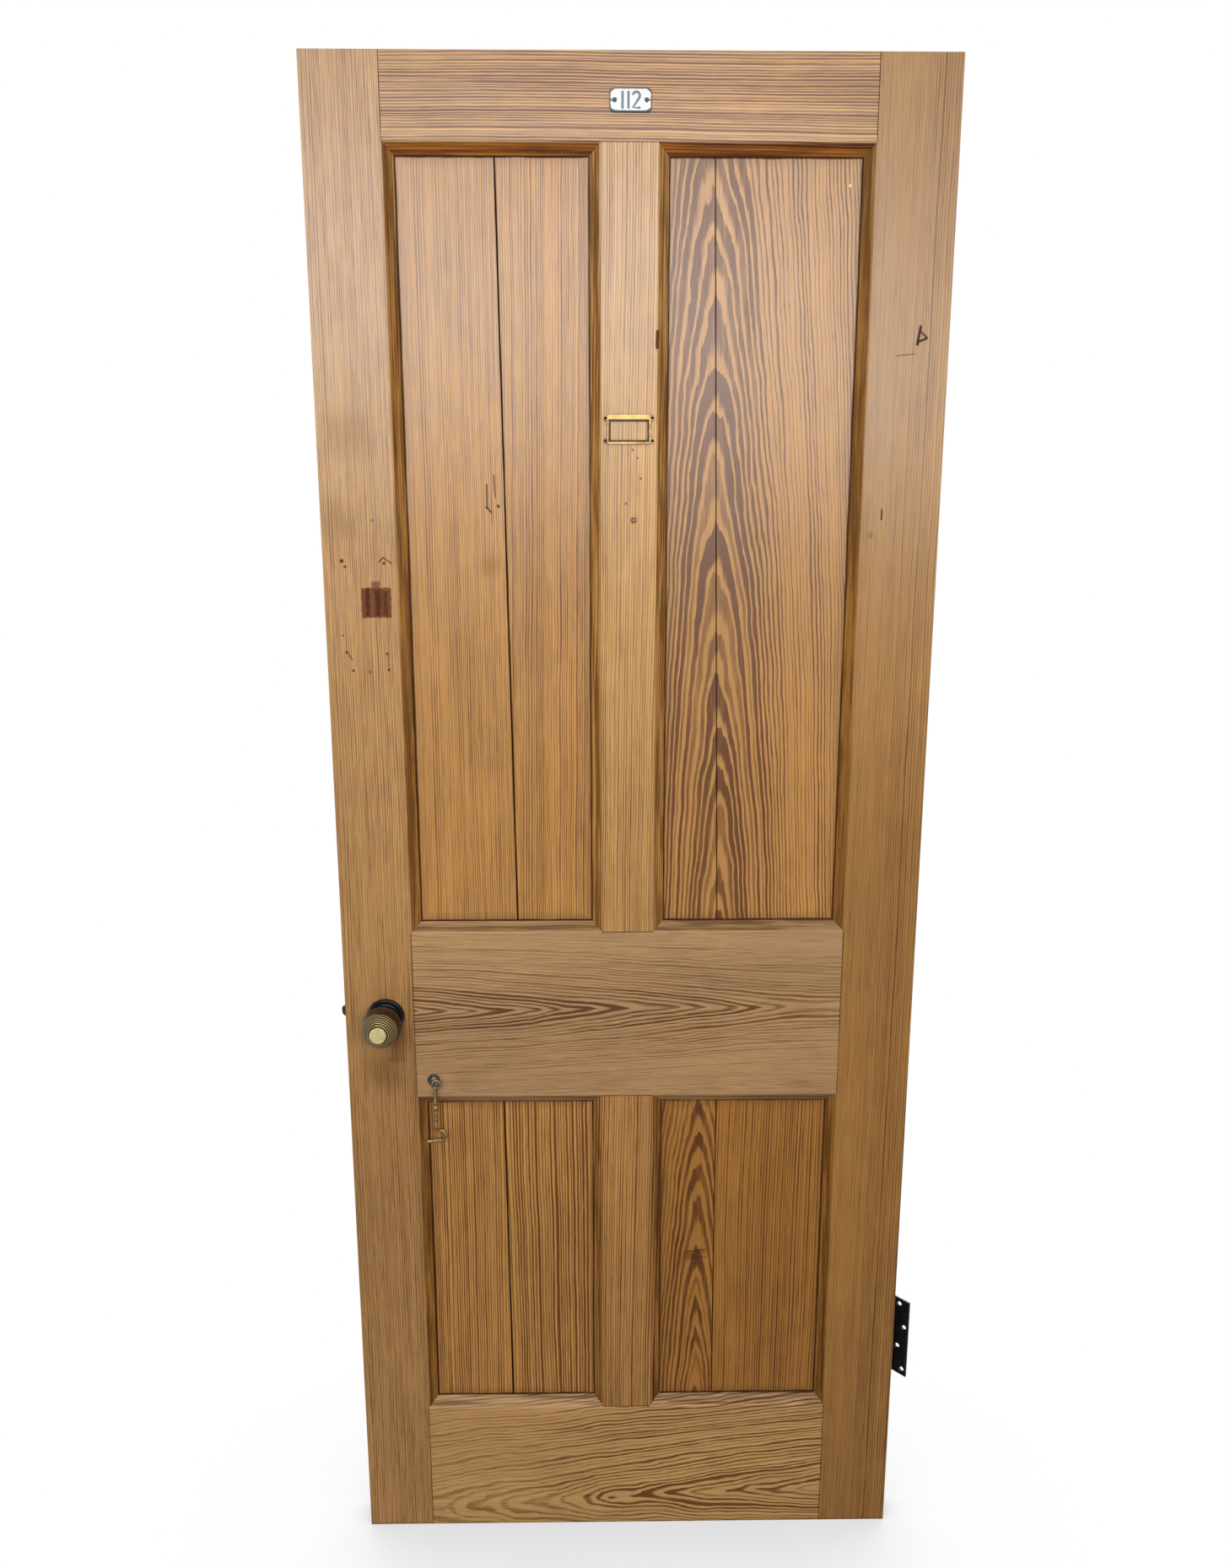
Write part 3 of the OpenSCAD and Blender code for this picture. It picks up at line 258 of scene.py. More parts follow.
LOCK_STILE_MARKS = [
    mark_box(-335, -298, 1339, 1376, 1.2, 5.0, srgb(112, 58, 40), 0.85),
    mark_box(-330, -325, 1340, 1375, 1.5, 6.0, srgb(66, 26, 20), 0.7),
    mark_box(-318, -311, 1341, 1374, 1.5, 6.0, srgb(60, 22, 16), 0.7),
    mark_box(-308, -303, 1341, 1372, 1.5, 6.0, srgb(70, 30, 22), 0.6),
    mark_box(-322, -311, 1372, 1384, 2.0, 5.0, srgb(110, 66, 46), 0.7),
    mark_spot(-357.2, 1409, 2.4, HOLE),
    mark_spot(-353.4, 1402, 1.8, HOLE, 0.8),
    mark_spot(-305.3, 1406, 2.0, HOLE, 0.8),
    mark_line(-311, 1408, -306, 1413, 1.6, SCRATCH, 0.8),
    mark_line(-306, 1413, -296, 1406, 1.6, SCRATCH, 0.7),
    mark_spot(-359.8, 1317, 1.5, SCRATCH, 0.7),
    mark_spot(-356.0, 1296, 2.0, HOLE, 0.7),
    mark_line(-354, 1294, -350, 1287, 1.5, SCRATCH, 0.7),
    mark_spot(-305.6, 1294, 1.8, HOLE, 0.8),
    mark_line(-304.8, 1292, -304.6, 1277, 1.0, SCRATCH, 0.7),
    mark_spot(-349.0, 1273, 1.8, HOLE, 0.8),
    mark_spot(-304.4, 1274, 1.8, HOLE, 0.8),
    mark_spot(-328.0, 1271, 2.0, DENT, 0.6),
    mark_spot(-318, 1458, 2.0, DENT, 0.5),
    mark_box(-325, -303, 740, 800, 6.0, 14.0, srgb(92, 46, 30), 0.45),
    mark_spot(-333, 727, 24.0, srgb(96, 50, 30), 0.40, 0.8),
    mark_box(-390, -285, 400, 860, 110.0, 20.0, srgb(86, 52, 30), 0.22),
    mark_spot(-341, 1560, 26.0, DULL, 0.25, 0.9),
    mark_spot(-362, 1455, 22.0, DULL, 0.25, 0.9),
]
HANGING_STILE_MARKS = [
    mark_line(346, 1684, 343, 1664, 2.6, HOLE),
    mark_line(344, 1667, 354, 1671, 2.2, HOLE, 0.9),
    mark_line(347, 1678, 354, 1672, 2.0, srgb(70, 40, 20), 0.8),
    mark_line(309.5, 1471, 309.5, 1459, 1.5, HOLE, 0.9),
    mark_box(285, 390, 960, 1170, 100.0, 20.0, srgb(104, 62, 24), 0.20),
    mark_line(318, 1651, 340, 1653, 1.2, srgb(96, 60, 34), 0.6),
    mark_spot(297, 1440, 4.0, srgb(120, 84, 50), 0.4),
]
MUNTIN_MARKS = [
    mark_spot(3.5, 1458, 3.8, srgb(104, 62, 34), 0.75),
    mark_spot(3.5, 1458, 2.4, HOLE, 0.8),
    mark_spot(3.7, 1458.2, 1.1, srgb(236, 226, 206), 0.95),
    mark_spot(2.2, 1542, 1.3, HOLE, 0.7),
    mark_spot(8.0, 1532, 1.3, HOLE, 0.7),
    mark_spot(-6.0, 1478, 1.5, SPECK, 0.7),
    mark_spot(12.0, 1508, 1.4, SPECK, 0.7),
    mark_line(31.5, 1678, 31.0, 1660, 3.0, srgb(60, 34, 16), 0.9),
]
UPPER_LEFT_MARKS = [
    mark_line(-177.2, 1501, -177.4, 1473, 1.5, srgb(86, 48, 22), 0.85),
    mark_line(-168.5, 1512, -167.0, 1486, 1.4, srgb(96, 56, 26), 0.75),
    mark_line(-178.4, 1474, -172.5, 1468, 1.8, srgb(80, 44, 20), 0.85),
    mark_spot(-163.5, 1475, 1.9, HOLE, 0.9),
    mark_spot(-176, 1402, 12.0, srgb(150, 100, 56), 0.30, 0.8),
]
UPPER_RIGHT_MARKS = [
    mark_spot(257.5, 1842.5, 1.8, srgb(236, 228, 210), 0.9),
]
LOWER_RIGHT_MARKS = [
    mark_spot(88, 436, 6.0, srgb(86, 48, 20), 0.55, 0.8),
    mark_spot(103, 441, 5.0, srgb(92, 52, 22), 0.5, 0.8),
    mark_line(80, 441, 112, 445, 1.4, srgb(80, 44, 18), 0.7),
    mark_line(82, 430, 110, 433, 1.3, srgb(84, 46, 20), 0.6),
]


# Pine: noise as scale across, along and into the board, shift of the three in seeds, detail, roughness

WOOD_NOISE = {
    "slow": ((5.0, 1.3, 5.0), (1.0, 0.0, 1.7), 2.0, 0.5),
    "quick": ((22.0, 9.0, 22.0), (1.0, 0.0, 1.0), 2.0, 0.5),
    "turn": ((16.0, 7.0, 9.0), (2.1, 0.0, 0.0), 2.5, 0.6),
    "tooth": ((230.0, 26.0, 90.0), (0.0, 1.0, 0.0), 2.0, 0.6),
    "patchy": ((70.0, 5.0, 70.0), (1.0, 0.0, 0.0), 2.0, 0.5),
    "fibre": ((520.0, 8.0, 520.0), (0.0, 1.0, 0.0), 3.0, 0.6),
    "dash": ((640.0, 30.0, 640.0), (0.0, 1.0, 0.0), 2.0, 0.6),
    "hair": ((1500.0, 22.0, 1500.0), (0.0, 1.0, 0.0), 2.0, 0.5),
    "grain": ((190.0, 3.5, 190.0), (0.0, 1.0, 0.0), 3.0, 0.65),
    "cloud": ((9.0, 2.6, 9.0), (1.0, 0.0, 0.0), 3.0, 0.5),
    "blot": ((38.0, 15.0, 38.0), (1.0, 0.0, 0.0), 2.0, 0.5),
    "figure": ((150.0, 7.0, 150.0), (1.0, 0.0, 0.0), 2.0, 0.6),
}
LINE_WEIGHTS = {"dash": 0.7, "hair": 0.5, "grain": 0.35}
FIBRE_WEIGHT = 0.8
BLOT_WEIGHT = 0.30

# Colours of the wood and its age, and its painted shade and sheen
EARLY = (0.600, 0.315, 0.090, 1.0)
LATE = (0.148, 0.049, 0.007, 1.0)
LATE_EVERYWHERE = 0.10
# Grime in open joints, and also the colour of the painted shade at panel rims and in corners
GRIME_AND_SHADE = (0.030, 0.009, 0.003, 1.0)
WHITE = (1.0, 1.0, 1.0, 1.0)
CLOUD_LOW, CLOUD_RANGE = 0.78, 0.44
FOOT_SHADE_TINT, FOOT_SHADE_RANGE = (0.91, 0.88, 0.92, 1.0), (0.25, 1.55)
HEAD_SHEEN_TINT, HEAD_SHEEN_RANGE = (0.98, 1.04, 1.45, 1.0), (1.56, 1.85)
BEVEL_DARK, BEVEL_PALE = (0.44, 0.33, 0.17, 1.0), (0.86, 0.76, 0.52, 1.0)
BEVEL_FIGURE = (0.40, 0.60)
BEVEL_DEPTH = (0.0180, 0.0192)
FRONT_HALF = (-0.003, -0.001)

# Growth rings
LEVEL_BLEND = 0.012
KNOT_LENGTH, KNOT_BULGE = 0.45, 0.9
UNEVEN_SCALE, UNEVEN_SHIFT = 60.0, 0.010
LATE_LEAD, LATE_LUCK = 0.12, 0.22
LATE_RISE, LATE_END = 0.30, 0.92
LATE_FULL, LATE_SPREAD = 1.15, 0.55
NARROW_RANGE, NARROW_SHIFT = (0.030, 0.085), 0.34
PATCH_RANGE = (0.30, 0.62)

# Painted shade at panel rims and in corners, dirt in open joints, and the polish
RIM_RAGGED = 0.0025
RIM_GAP_SHADE, RIM_GAP_SHADE_COVER = (0.0008, 0.0032), 0.95
RIM_SHADE, RIM_SHADE_COVER = (0.002, 0.016), 0.30
RIM_SHADE_COLOUR = (0.10, 0.04, 0.012, 1.0)
SEAM_CORE, SEAM_EDGE = 0.5, 1.5
CREVICE_SHADE_REACH, CREVICE_SHADE_RANGE, CREVICE_SHADE_COVER = 0.007, (0.25, 0.85), 0.82
GLOSS_HEIGHT, GLOSS_FOOT, GLOSS_HEAD = (0.35, 1.55), 0.28, 0.80
BEVEL_DULLING = 0.6
POLISH, POLISH_ROUGHNESS, SPECULAR = 0.35, 0.26, 0.5
WOOD_ROUGHNESS, WOOD_ROUGHNESS_RANGE = 0.30, 0.12
RING_RELIEF, FIBRE_RELIEF = -0.6, 0.8
RELIEF_STRENGTH, RELIEF_DEPTH = 0.15, 0.0004

# What a board has unless its row in the table says otherwise
# heart: where the rings' axis runs across the board, and its lean
# depth: how far the axis lies behind the face, and how that grows along the board, up to level
# knots: place across and along the board, and size
# pitch: the width of a ring, finer away from the heart where narrow is set
# wander, ripple, swirl, jag: how far the rings stray, from slow bends to small teeth
# sharp: how round the rings' arches are, 2 for a circle and less for a point
# late_at, contrast, patch: where in a ring its dark part starts, how dark it is, and how patchy
# streak: strength of the fine lines
# fade, ebb: the rings' strength by distance from the heart, and along the board
# tint, and the bevels' tint: colour of the board, and of its bevels, where it paints shade or sheen by the
# way they face
# marks, seams, rim: marks on the front, open joints, and the visible edges of a panel
BOARD = dict(
    along="z", heart=(0.5, 0.0), depth=(0.0, 0.0), level=None, knots=(), seed=0.0,
    pitch=0.003, wander=0.004, ripple=0.0012, swirl=0.0, sharp=2.0, jag=0.0, narrow=0.0,
    late_at=0.30, contrast=0.6, patch=0.3, streak=1.0, fade=None, ebb=None,
    tint=(1.0, 1.0, 1.0), bevelled=None, marks=(), seams=(), rim=None)


class BoardGraph(Graph):
    """A finish with axes that follow a board: u across it, v along it and w into it."""

    def __init__(self, name, along, seed):
        super().__init__(name)
        self.u, self.v = (self.x, self.z) if along == "z" else (self.z, self.x)
        self.w = self.y
        self.seed = seed

    def grain(self, kind):
        """A noise of the table, drawn out along the board."""
        scales, seeds, detail, rough = WOOD_NOISE[kind]
        place = []
        for axis, scale, shift in zip((self.u, self.v, self.w), scales, seeds):
            drawn = self.mul(axis, scale)
            place.append(self.add(drawn, self.seed * shift) if shift else drawn)
        return self.noise(self.vec(*place), 1.0, detail, rough)

    def wave(self, kind):
        """The same noise about zero."""
        return self.sub(self.grain(kind), 0.5)


def ring_places(g, board):
    """Distance across the board from the heart, and radius from the rings' axis."""
    across = g.sub(g.u, g.add(board.heart[0], g.mul(g.v, board.heart[1])))
    across = g.add(across, g.mul(g.wave("slow"), board.wander * 2))
    across = g.add(across, g.mul(g.wave("quick"), board.ripple * 2))
    behind = g.add(board.depth[0], g.mul(g.v, board.depth[1]))
    if board.level:
        behind = g.math("SMOOTH_MIN", behind, board.level, LEVEL_BLEND)
    behind = g.add(behind, g.w)
    if board.swirl:
        behind = g.add(behind, g.mul(g.wave("turn"), board.swirl * 2))
    for across_at, along_at, size in board.knots:
        off_u = g.sub(g.u, across_at)
        off_v = g.mul(g.sub(g.v, along_at), KNOT_LENGTH)
        off = g.add(g.mul(off_u, off_u), g.mul(off_v, off_v))
        bulge = g.math("EXPONENT", g.mul(off, -1.0 / (size * size)))
        behind = g.add(behind, g.mul(bulge, size * KNOT_BULGE))
    far = g.abs(across)
    total = g.add(g.math("POWER", far, board.sharp), g.math("POWER", g.abs(behind), board.sharp))
    radius = g.math("POWER", total, 1 / board.sharp)
    if board.jag:
        radius = g.add(radius, g.mul(g.wave("tooth"), board.jag * 2))
    return far, radius


def late_wood(g, board, far, radius):
    """The dark part of each ring, 1 where it is darkest."""
    uneven = g.noise(g.vec(g.mul(radius, UNEVEN_SCALE), board.seed, 0.0), 1.0, 2.0, 0.6)
    rings = g.add(g.math("DIVIDE", radius, board.pitch), g.mul(uneven, UNEVEN_SHIFT / board.pitch))
    if board.narrow:
        rings = g.add(rings, g.mul(g.mul(far, far), board.narrow))
    part = g.math("FRACT", rings)
    luck = g.chance(g.add(g.math("FLOOR", rings), board.seed))
    start = g.add(board.late_at - LATE_LEAD, g.mul(luck, LATE_LUCK))
    if board.narrow:
        start = g.add(start, g.step(far, *NARROW_RANGE, 0.0, NARROW_SHIFT))
    dark = g.mul(g.step(part, start, g.add(start, LATE_RISE)), g.fall(part, LATE_END, 1.0))
    dark = g.mul(dark, g.sub(LATE_FULL, g.mul(luck, LATE_SPREAD)))
    dark = g.mul(dark, g.step(g.grain("patchy"), *PATCH_RANGE, 1.0 - board.patch, 1.0))
    if board.fade:
        near_end, far_end, left = board.fade
        dark = g.mul(dark, g.step(far, near_end, far_end, 1.0, left))
    if board.ebb:
        dark = g.mul(dark, g.step(g.v, *board.ebb))
    return dark


def wood_colour(g, board, dark, fibre, blot, cloud):
    """Colour of the clean wood, with painted shade towards the foot of the leaf and a painted bluish sheen
    at its head.
    """
    lines = g.mul(fibre, FIBRE_WEIGHT)
    for kind, weight in LINE_WEIGHTS.items():
        lines = g.add(lines, g.mul(g.wave(kind), weight))
    amount = g.add(g.mul(dark, board.contrast), g.mul(lines, board.streak))
    amount = g.add(amount, g.mul(blot, BLOT_WEIGHT))
    colour = g.mix(g.add(amount, LATE_EVERYWHERE), EARLY, LATE)
    colour = g.times(colour, g.grey(g.add(CLOUD_LOW, g.mul(cloud, CLOUD_RANGE))))
    colour = g.times(colour, opaque(board.tint))
    # Painted shade darkening the wood towards the foot, and a painted bluish sheen at the head
    colour = g.times(colour, g.mix(g.step(g.z, *FOOT_SHADE_RANGE), FOOT_SHADE_TINT, WHITE))
    return g.times(colour, g.mix(g.step(g.z, *HEAD_SHEEN_RANGE), WHITE, HEAD_SHEEN_TINT))


def grimy_shaded_bevels(g, board, colour, sunk):
    """Darker, patchy colour on the bevels round the panels, partly grime and partly painted shade."""
    bevel_grime_and_shade = g.mix(g.step(g.grain("figure"), *BEVEL_FIGURE), BEVEL_DARK, BEVEL_PALE)
    # Each board's bevel tint paints shade or sheen on its bevels by the way they face
    bevel_grime_and_shade = g.times(bevel_grime_and_shade, opaque(board.bevelled))
    return g.mix(sunk, colour, g.times(colour, bevel_grime_and_shade))


def wear_and_rim_shade(g, board, colour, blot):
    """Marks, open joints and painted shade along the panel rims; gives the colour and how matt they leave
    it.
    """
    matt = 0.0
    front = g.fall(g.y, *FRONT_HALF)
    for paint in board.marks:
        mask, shade, strength = paint(g)
        cover = g.mul(g.mul(mask, front), strength)
        colour = g.mix(cover, colour, shade)
        matt = g.most(matt, cover)
    for axis, at, lean, half, strength in board.seams:
        across, run = (g.x, g.z) if axis == "x" else (g.z, g.x)
        off = g.abs(g.sub(across, g.add(at, g.mul(run, lean))))
        off = g.add(off, g.mul(blot, half))
        line = g.fall(off, half * SEAM_CORE, half * SEAM_EDGE, strength)
        colour = g.mix(line, colour, GRIME_AND_SHADE)
        matt = g.most(matt, line)
    if board.rim:
        x0, x1, z0, z1 = board.rim
        side = g.least(g.sub(g.x, x0), g.sub(x1, g.x))
        end = g.least(g.sub(g.z, z0), g.sub(z1, g.z))
        edge = g.add(g.least(side, end), g.mul(blot, RIM_RAGGED))
        # Painted shade along the panel's visible edges: a dark line in the gap, and a wider faint shade
        # beside it
        gap_shade = g.fall(edge, *RIM_GAP_SHADE, RIM_GAP_SHADE_COVER)
        colour = g.mix(gap_shade, colour, GRIME_AND_SHADE)
        matt = g.most(matt, gap_shade)
        colour = g.mix(g.fall(edge, *RIM_SHADE, RIM_SHADE_COVER), colour, RIM_SHADE_COLOUR)
    return colour, matt


def pine(name, row):
    """Polished pine with growth rings cut by the board, as its row in the table says."""
    board = SimpleNamespace(**{**BOARD, **row})
    g = BoardGraph(name, board.along, board.seed)
    far, radius = ring_places(g, board)
    dark = late_wood(g, board, far, radius)
    fibre = g.wave("fibre")
    blot = g.wave("blot")
    cloud = g.grain("cloud")
    colour = wood_colour(g, board, dark, fibre, blot, cloud)
    if board.bevelled:
        sunk = g.fall(g.abs(g.y), *BEVEL_DEPTH)
        colour = grimy_shaded_bevels(g, board, colour, sunk)
    colour, matt = wear_and_rim_shade(g, board, colour, blot)
    # Painted shade: the wood darkens in corners, gaps and recesses, by how closed in each point is
    crevice_shade = g.fall(g.crevice(CREVICE_SHADE_REACH), *CREVICE_SHADE_RANGE, CREVICE_SHADE_COVER)
    colour = g.mix(crevice_shade, colour, GRIME_AND_SHADE)
    gloss = g.mul(g.sub(1.0, g.most(matt, crevice_shade)), g.step(g.z, *GLOSS_HEIGHT, GLOSS_FOOT, GLOSS_HEAD))
    if board.bevelled:
        gloss = g.mul(gloss, g.sub(1.0, g.mul(sunk, BEVEL_DULLING)))
    g.set(Base_Color=colour, Roughness=g.add(WOOD_ROUGHNESS, g.mul(cloud, WOOD_ROUGHNESS_RANGE)),
          Coat_Weight=g.mul(gloss, POLISH), Coat_Roughness=POLISH_ROUGHNESS,
          Specular_IOR_Level=g.mul(gloss, SPECULAR), IOR=1.5)
    relief = g.add(g.mul(dark, RING_RELIEF), g.mul(fibre, FIBRE_RELIEF))
    g.bump(relief, RELIEF_STRENGTH, RELIEF_DEPTH)
    return g.mat


# Joints and splits: axis across, place, lean, half width, strength

UPPER_OPENING = (0.928, 1.882)
LOWER_OPENING = (0.202, 0.686)


def split(at, lean, opening, half, strength):
    """The dark line where a panel's two boards meet; at is its place at the foot of the opening."""
    foot, head = opening
    slope = lean / (head - foot)
    return (("x", at - slope * foot, slope, half, strength),)


RAIL_ENDS = (("x", -0.290, 0.0, 0.0011, 0.85), ("x", 0.285, 0.0, 0.0011, 0.85))
UPPER_ENDS = (("z", 1.886, 0.0, 0.0010, 0.7), ("z", 0.924, 0.0, 0.0012, 0.85))
LOWER_ENDS = (("z", 0.690, 0.0, 0.0012, 0.8), ("z", 0.198, 0.0, 0.0012, 0.85))
UPPER_LEFT_SPLIT = split(-0.1484, -0.012, UPPER_OPENING, 0.0013, 0.95)
UPPER_RIGHT_SPLIT = split(0.1170, -0.019, UPPER_OPENING, 0.0009, 0.85)
LOWER_LEFT_SPLIT = split(-0.1671, -0.005, LOWER_OPENING, 0.0013, 0.95)
LOWER_RIGHT_SPLIT = split(0.1215, -0.001, LOWER_OPENING, 0.0009, 0.85)

# Visible edges of the four panels: left, right, foot, head
LEFT_SIDE, RIGHT_SIDE = (-0.277, -0.049), (0.044, 0.272)
UPPER_SPAN, LOWER_SPAN = (0.937, 1.873), (0.211, 0.677)
UPPER_LEFT = dict(seams=UPPER_LEFT_SPLIT, rim=LEFT_SIDE + UPPER_SPAN)
UPPER_RIGHT = dict(seams=UPPER_RIGHT_SPLIT, rim=RIGHT_SIDE + UPPER_SPAN)
LOWER_LEFT = dict(seams=LOWER_LEFT_SPLIT, rim=LEFT_SIDE + LOWER_SPAN)
LOWER_RIGHT = dict(seams=LOWER_RIGHT_SPLIT, rim=RIGHT_SIDE + LOWER_SPAN)


# The boards of the leaf

PLAIN_BEVEL = (1.0, 1.06, 1.25)
FLAME = dict(
    heart=(0.1365, -0.020), depth=(-0.048, 0.085), pitch=0.0053, contrast=1.0, seed=4.5,
    wander=0.006, ripple=0.003, swirl=0.006, sharp=1.62, jag=0.0011, narrow=230.0,
    late_at=0.20, patch=0.25, fade=(0.034, 0.085, 1.15), streak=0.7,
    tint=(1.02, 0.94, 0.86), marks=UPPER_RIGHT_MARKS, **UPPER_RIGHT)
WOODS = {
    "lock_stile": dict(
        heart=(-0.62, 0.0), pitch=0.0028, contrast=0.52, seed=3.1, wander=0.006, streak=1.3,
        tint=(1.10, 1.13, 1.36), bevelled=(0.87, 0.87, 0.80), marks=LOCK_STILE_MARKS),
    "hanging_stile": dict(
        heart=(0.55, 0.004), pitch=0.0036, contrast=0.68, seed=7.7, wander=0.008,
        fade=(0.18, 0.25, 0.30), knots=((0.346, 1.152, 0.018), (0.378, 0.893, 0.014)),
        tint=(0.79, 0.73, 0.62), bevelled=PLAIN_BEVEL, marks=HANGING_STILE_MARKS),
    "top_rail": dict(
        along="x", heart=(2.25, 0.0), pitch=0.0032, contrast=0.88, seed=11.3, wander=0.010,
        late_at=0.2, tint=(1.19, 1.16, 1.18), bevelled=(0.85, 0.62, 0.30), seams=RAIL_ENDS),
    "lock_rail": dict(
        along="x", heart=(0.816, 0.004), depth=(0.062, 0.105), level=0.086, pitch=0.0044, contrast=1.15,
        seed=5.2, wander=0.003, ripple=0.0028, swirl=0.006, sharp=1.25, jag=0.0008, narrow=400.0,
        late_at=0.32, patch=0.1, fade=(0.013, 0.038, 0.46), ebb=(0.05, 0.26, 1.0, 0.6), streak=1.15,
        tint=(0.95, 1.06, 1.65), bevelled=(0.97, 1.15, 1.75), seams=RAIL_ENDS),
    "bottom_rail": dict(
        along="x", heart=(0.045, 0.06), depth=(0.066, -0.11), pitch=0.0049, contrast=0.98,
        seed=17.9, wander=0.014, ripple=0.006, swirl=0.012, sharp=1.6, jag=0.0009,
        late_at=0.46, ebb=(-0.20, 0.02, 0.5, 1.0),
        tint=(1.27, 1.41, 1.72), bevelled=(1.04, 1.33, 2.6), seams=RAIL_ENDS),
    "upper_muntin": dict(
        heart=(0.30, 0.01), pitch=0.0031, contrast=0.64, seed=9.4, wander=0.010,
        tint=(1.27, 1.31, 1.46), bevelled=PLAIN_BEVEL, marks=MUNTIN_MARKS, seams=UPPER_ENDS),
    "lower_muntin": dict(
        heart=(-0.30, 0.01), pitch=0.0034, contrast=0.76, seed=2.4, wander=0.008,
        tint=(1.08, 1.05, 1.08), bevelled=PLAIN_BEVEL, seams=LOWER_ENDS),
    "upper_left_board_a": dict(
        heart=(-0.60, 0.0), pitch=0.0028, contrast=0.56, seed=1.2,
        tint=(1.12, 1.06, 1.0), marks=UPPER_LEFT_MARKS, **UPPER_LEFT),
    "upper_left_board_b": dict(
        heart=(0.30, 0.012), pitch=0.0030, contrast=0.66, seed=6.6, ripple=0.002,
        tint=(1.14, 1.07, 1.0), **UPPER_LEFT),
    "upper_right_board_a": FLAME,
    "upper_right_board_b": FLAME,
    "lower_left_board_a": dict(
        heart=(-0.50, 0.0), pitch=0.0034, contrast=0.82, seed=8.8, late_at=0.36,
        tint=(1.15, 1.09, 1.0), **LOWER_LEFT),
    "lower_left_board_b": dict(
        heart=(-0.190, -0.004), depth=(0.004, 0.030), pitch=0.0043, contrast=0.92, seed=12.6,
        ripple=0.002, jag=0.0006, late_at=0.34, tint=(1.17, 1.13, 1.03), **LOWER_LEFT),
    "lower_right_board_a": dict(
        heart=(0.098, 0.0), depth=(0.012, 0.085), pitch=0.0045, contrast=0.86, seed=14.1,
        ripple=0.003, swirl=0.004, sharp=1.55, jag=0.0010, late_at=0.34,
        tint=(0.88, 0.75, 0.50), marks=LOWER_RIGHT_MARKS, **LOWER_RIGHT),
    "lower_right_board_b": dict(
        heart=(0.55, 0.01), pitch=0.0036, contrast=0.74, seed=15.3, wander=0.010, late_at=0.34,
        tint=(0.87, 0.74, 0.48), **LOWER_RIGHT),
    "tenon_wedges": dict(
        along="x", heart=(2.5, 0.0), pitch=0.0030, contrast=0.40, seed=19.0, tint=(0.75, 0.72, 0.68)),
}
ARRIS_WIDTH = 0.0007
ARRIS_ANGLE = math.radians(30)


def ease_arrises(name):
    """Takes the sharpness off a board's edges."""
    bevel = nodes[name].modifiers.new("eased arrises", "BEVEL")
    bevel.width = ARRIS_WIDTH
    bevel.segments = 2
    bevel.limit_method = "ANGLE"
    bevel.angle_limit = ARRIS_ANGLE


for board_name, board_row in WOODS.items():
    dress(board_name, pine("pine " + board_name.replace("_", " "), board_row))
    ease_arrises(board_name)


# Metals

TARNISH_RANGE = (0.35, 0.7)
FINE_SCALE = 7.0
CORNER_SHADE, CORNER_COVER = (0.01, 0.008, 0.006, 1.0), 0.75
CORNER_REACH, CORNER_RANGE = 0.006, (0.2, 0.9)
SMOOTHEST, CLOUD_ROUGHNESS, FINE_ROUGHNESS = -0.08, 0.12, 0.06
METAL_RELIEF, METAL_RELIEF_DEPTH = 0.05, 0.0002


def metal(name, colour, dark, rough, metallic=1.0, scale=120.0, coat=0.0):
    """Metal with cloudy tarnish, and painted shade darkening its corners."""
    g = Graph(name)
    cloud = g.noise(g.co, scale, 4.0, 0.6)
    fine = g.noise(g.co, scale * FINE_SCALE, 3.0, 0.6)
    tarnished = g.mix(g.step(cloud, *TARNISH_RANGE), colour, dark)
    # Painted shade, darker where the metal is closed in
    corner_shade = g.fall(g.crevice(CORNER_REACH), *CORNER_RANGE, CORNER_COVER)
    dulled = g.add(g.mul(cloud, CLOUD_ROUGHNESS), g.mul(fine, FINE_ROUGHNESS))
    g.set(Base_Color=g.mix(corner_shade, tarnished, CORNER_SHADE), Metallic=metallic, Coat_Weight=coat,
          Roughness=g.add(rough + SMOOTHEST, dulled))
    g.bump(fine, METAL_RELIEF, METAL_RELIEF_DEPTH)
    return g


# Places on the knobs: their axis, the reeds round a centre seen in section, and the end disc
KNOB_X, KNOB_Z = -0.327, 0.807
REEDS_OUT, REEDS_INWARD = 0.056, 0.004
FIRST_REED, REED_ANGLE, LAST_REED = 0.9617, 0.09599, 5.0
REED_COVER, REED_HOLLOW_SHADE, REED_CROWN_HIGHLIGHT = 0.8, (-0.2, -0.8), (0.4, 0.9)
DISC_EDGE = (0.0112, 0.0116)
DISC_OUT = (0.0814, 0.0824)
KNOB_METALLIC, DISC_LESS = 0.60, 0.30


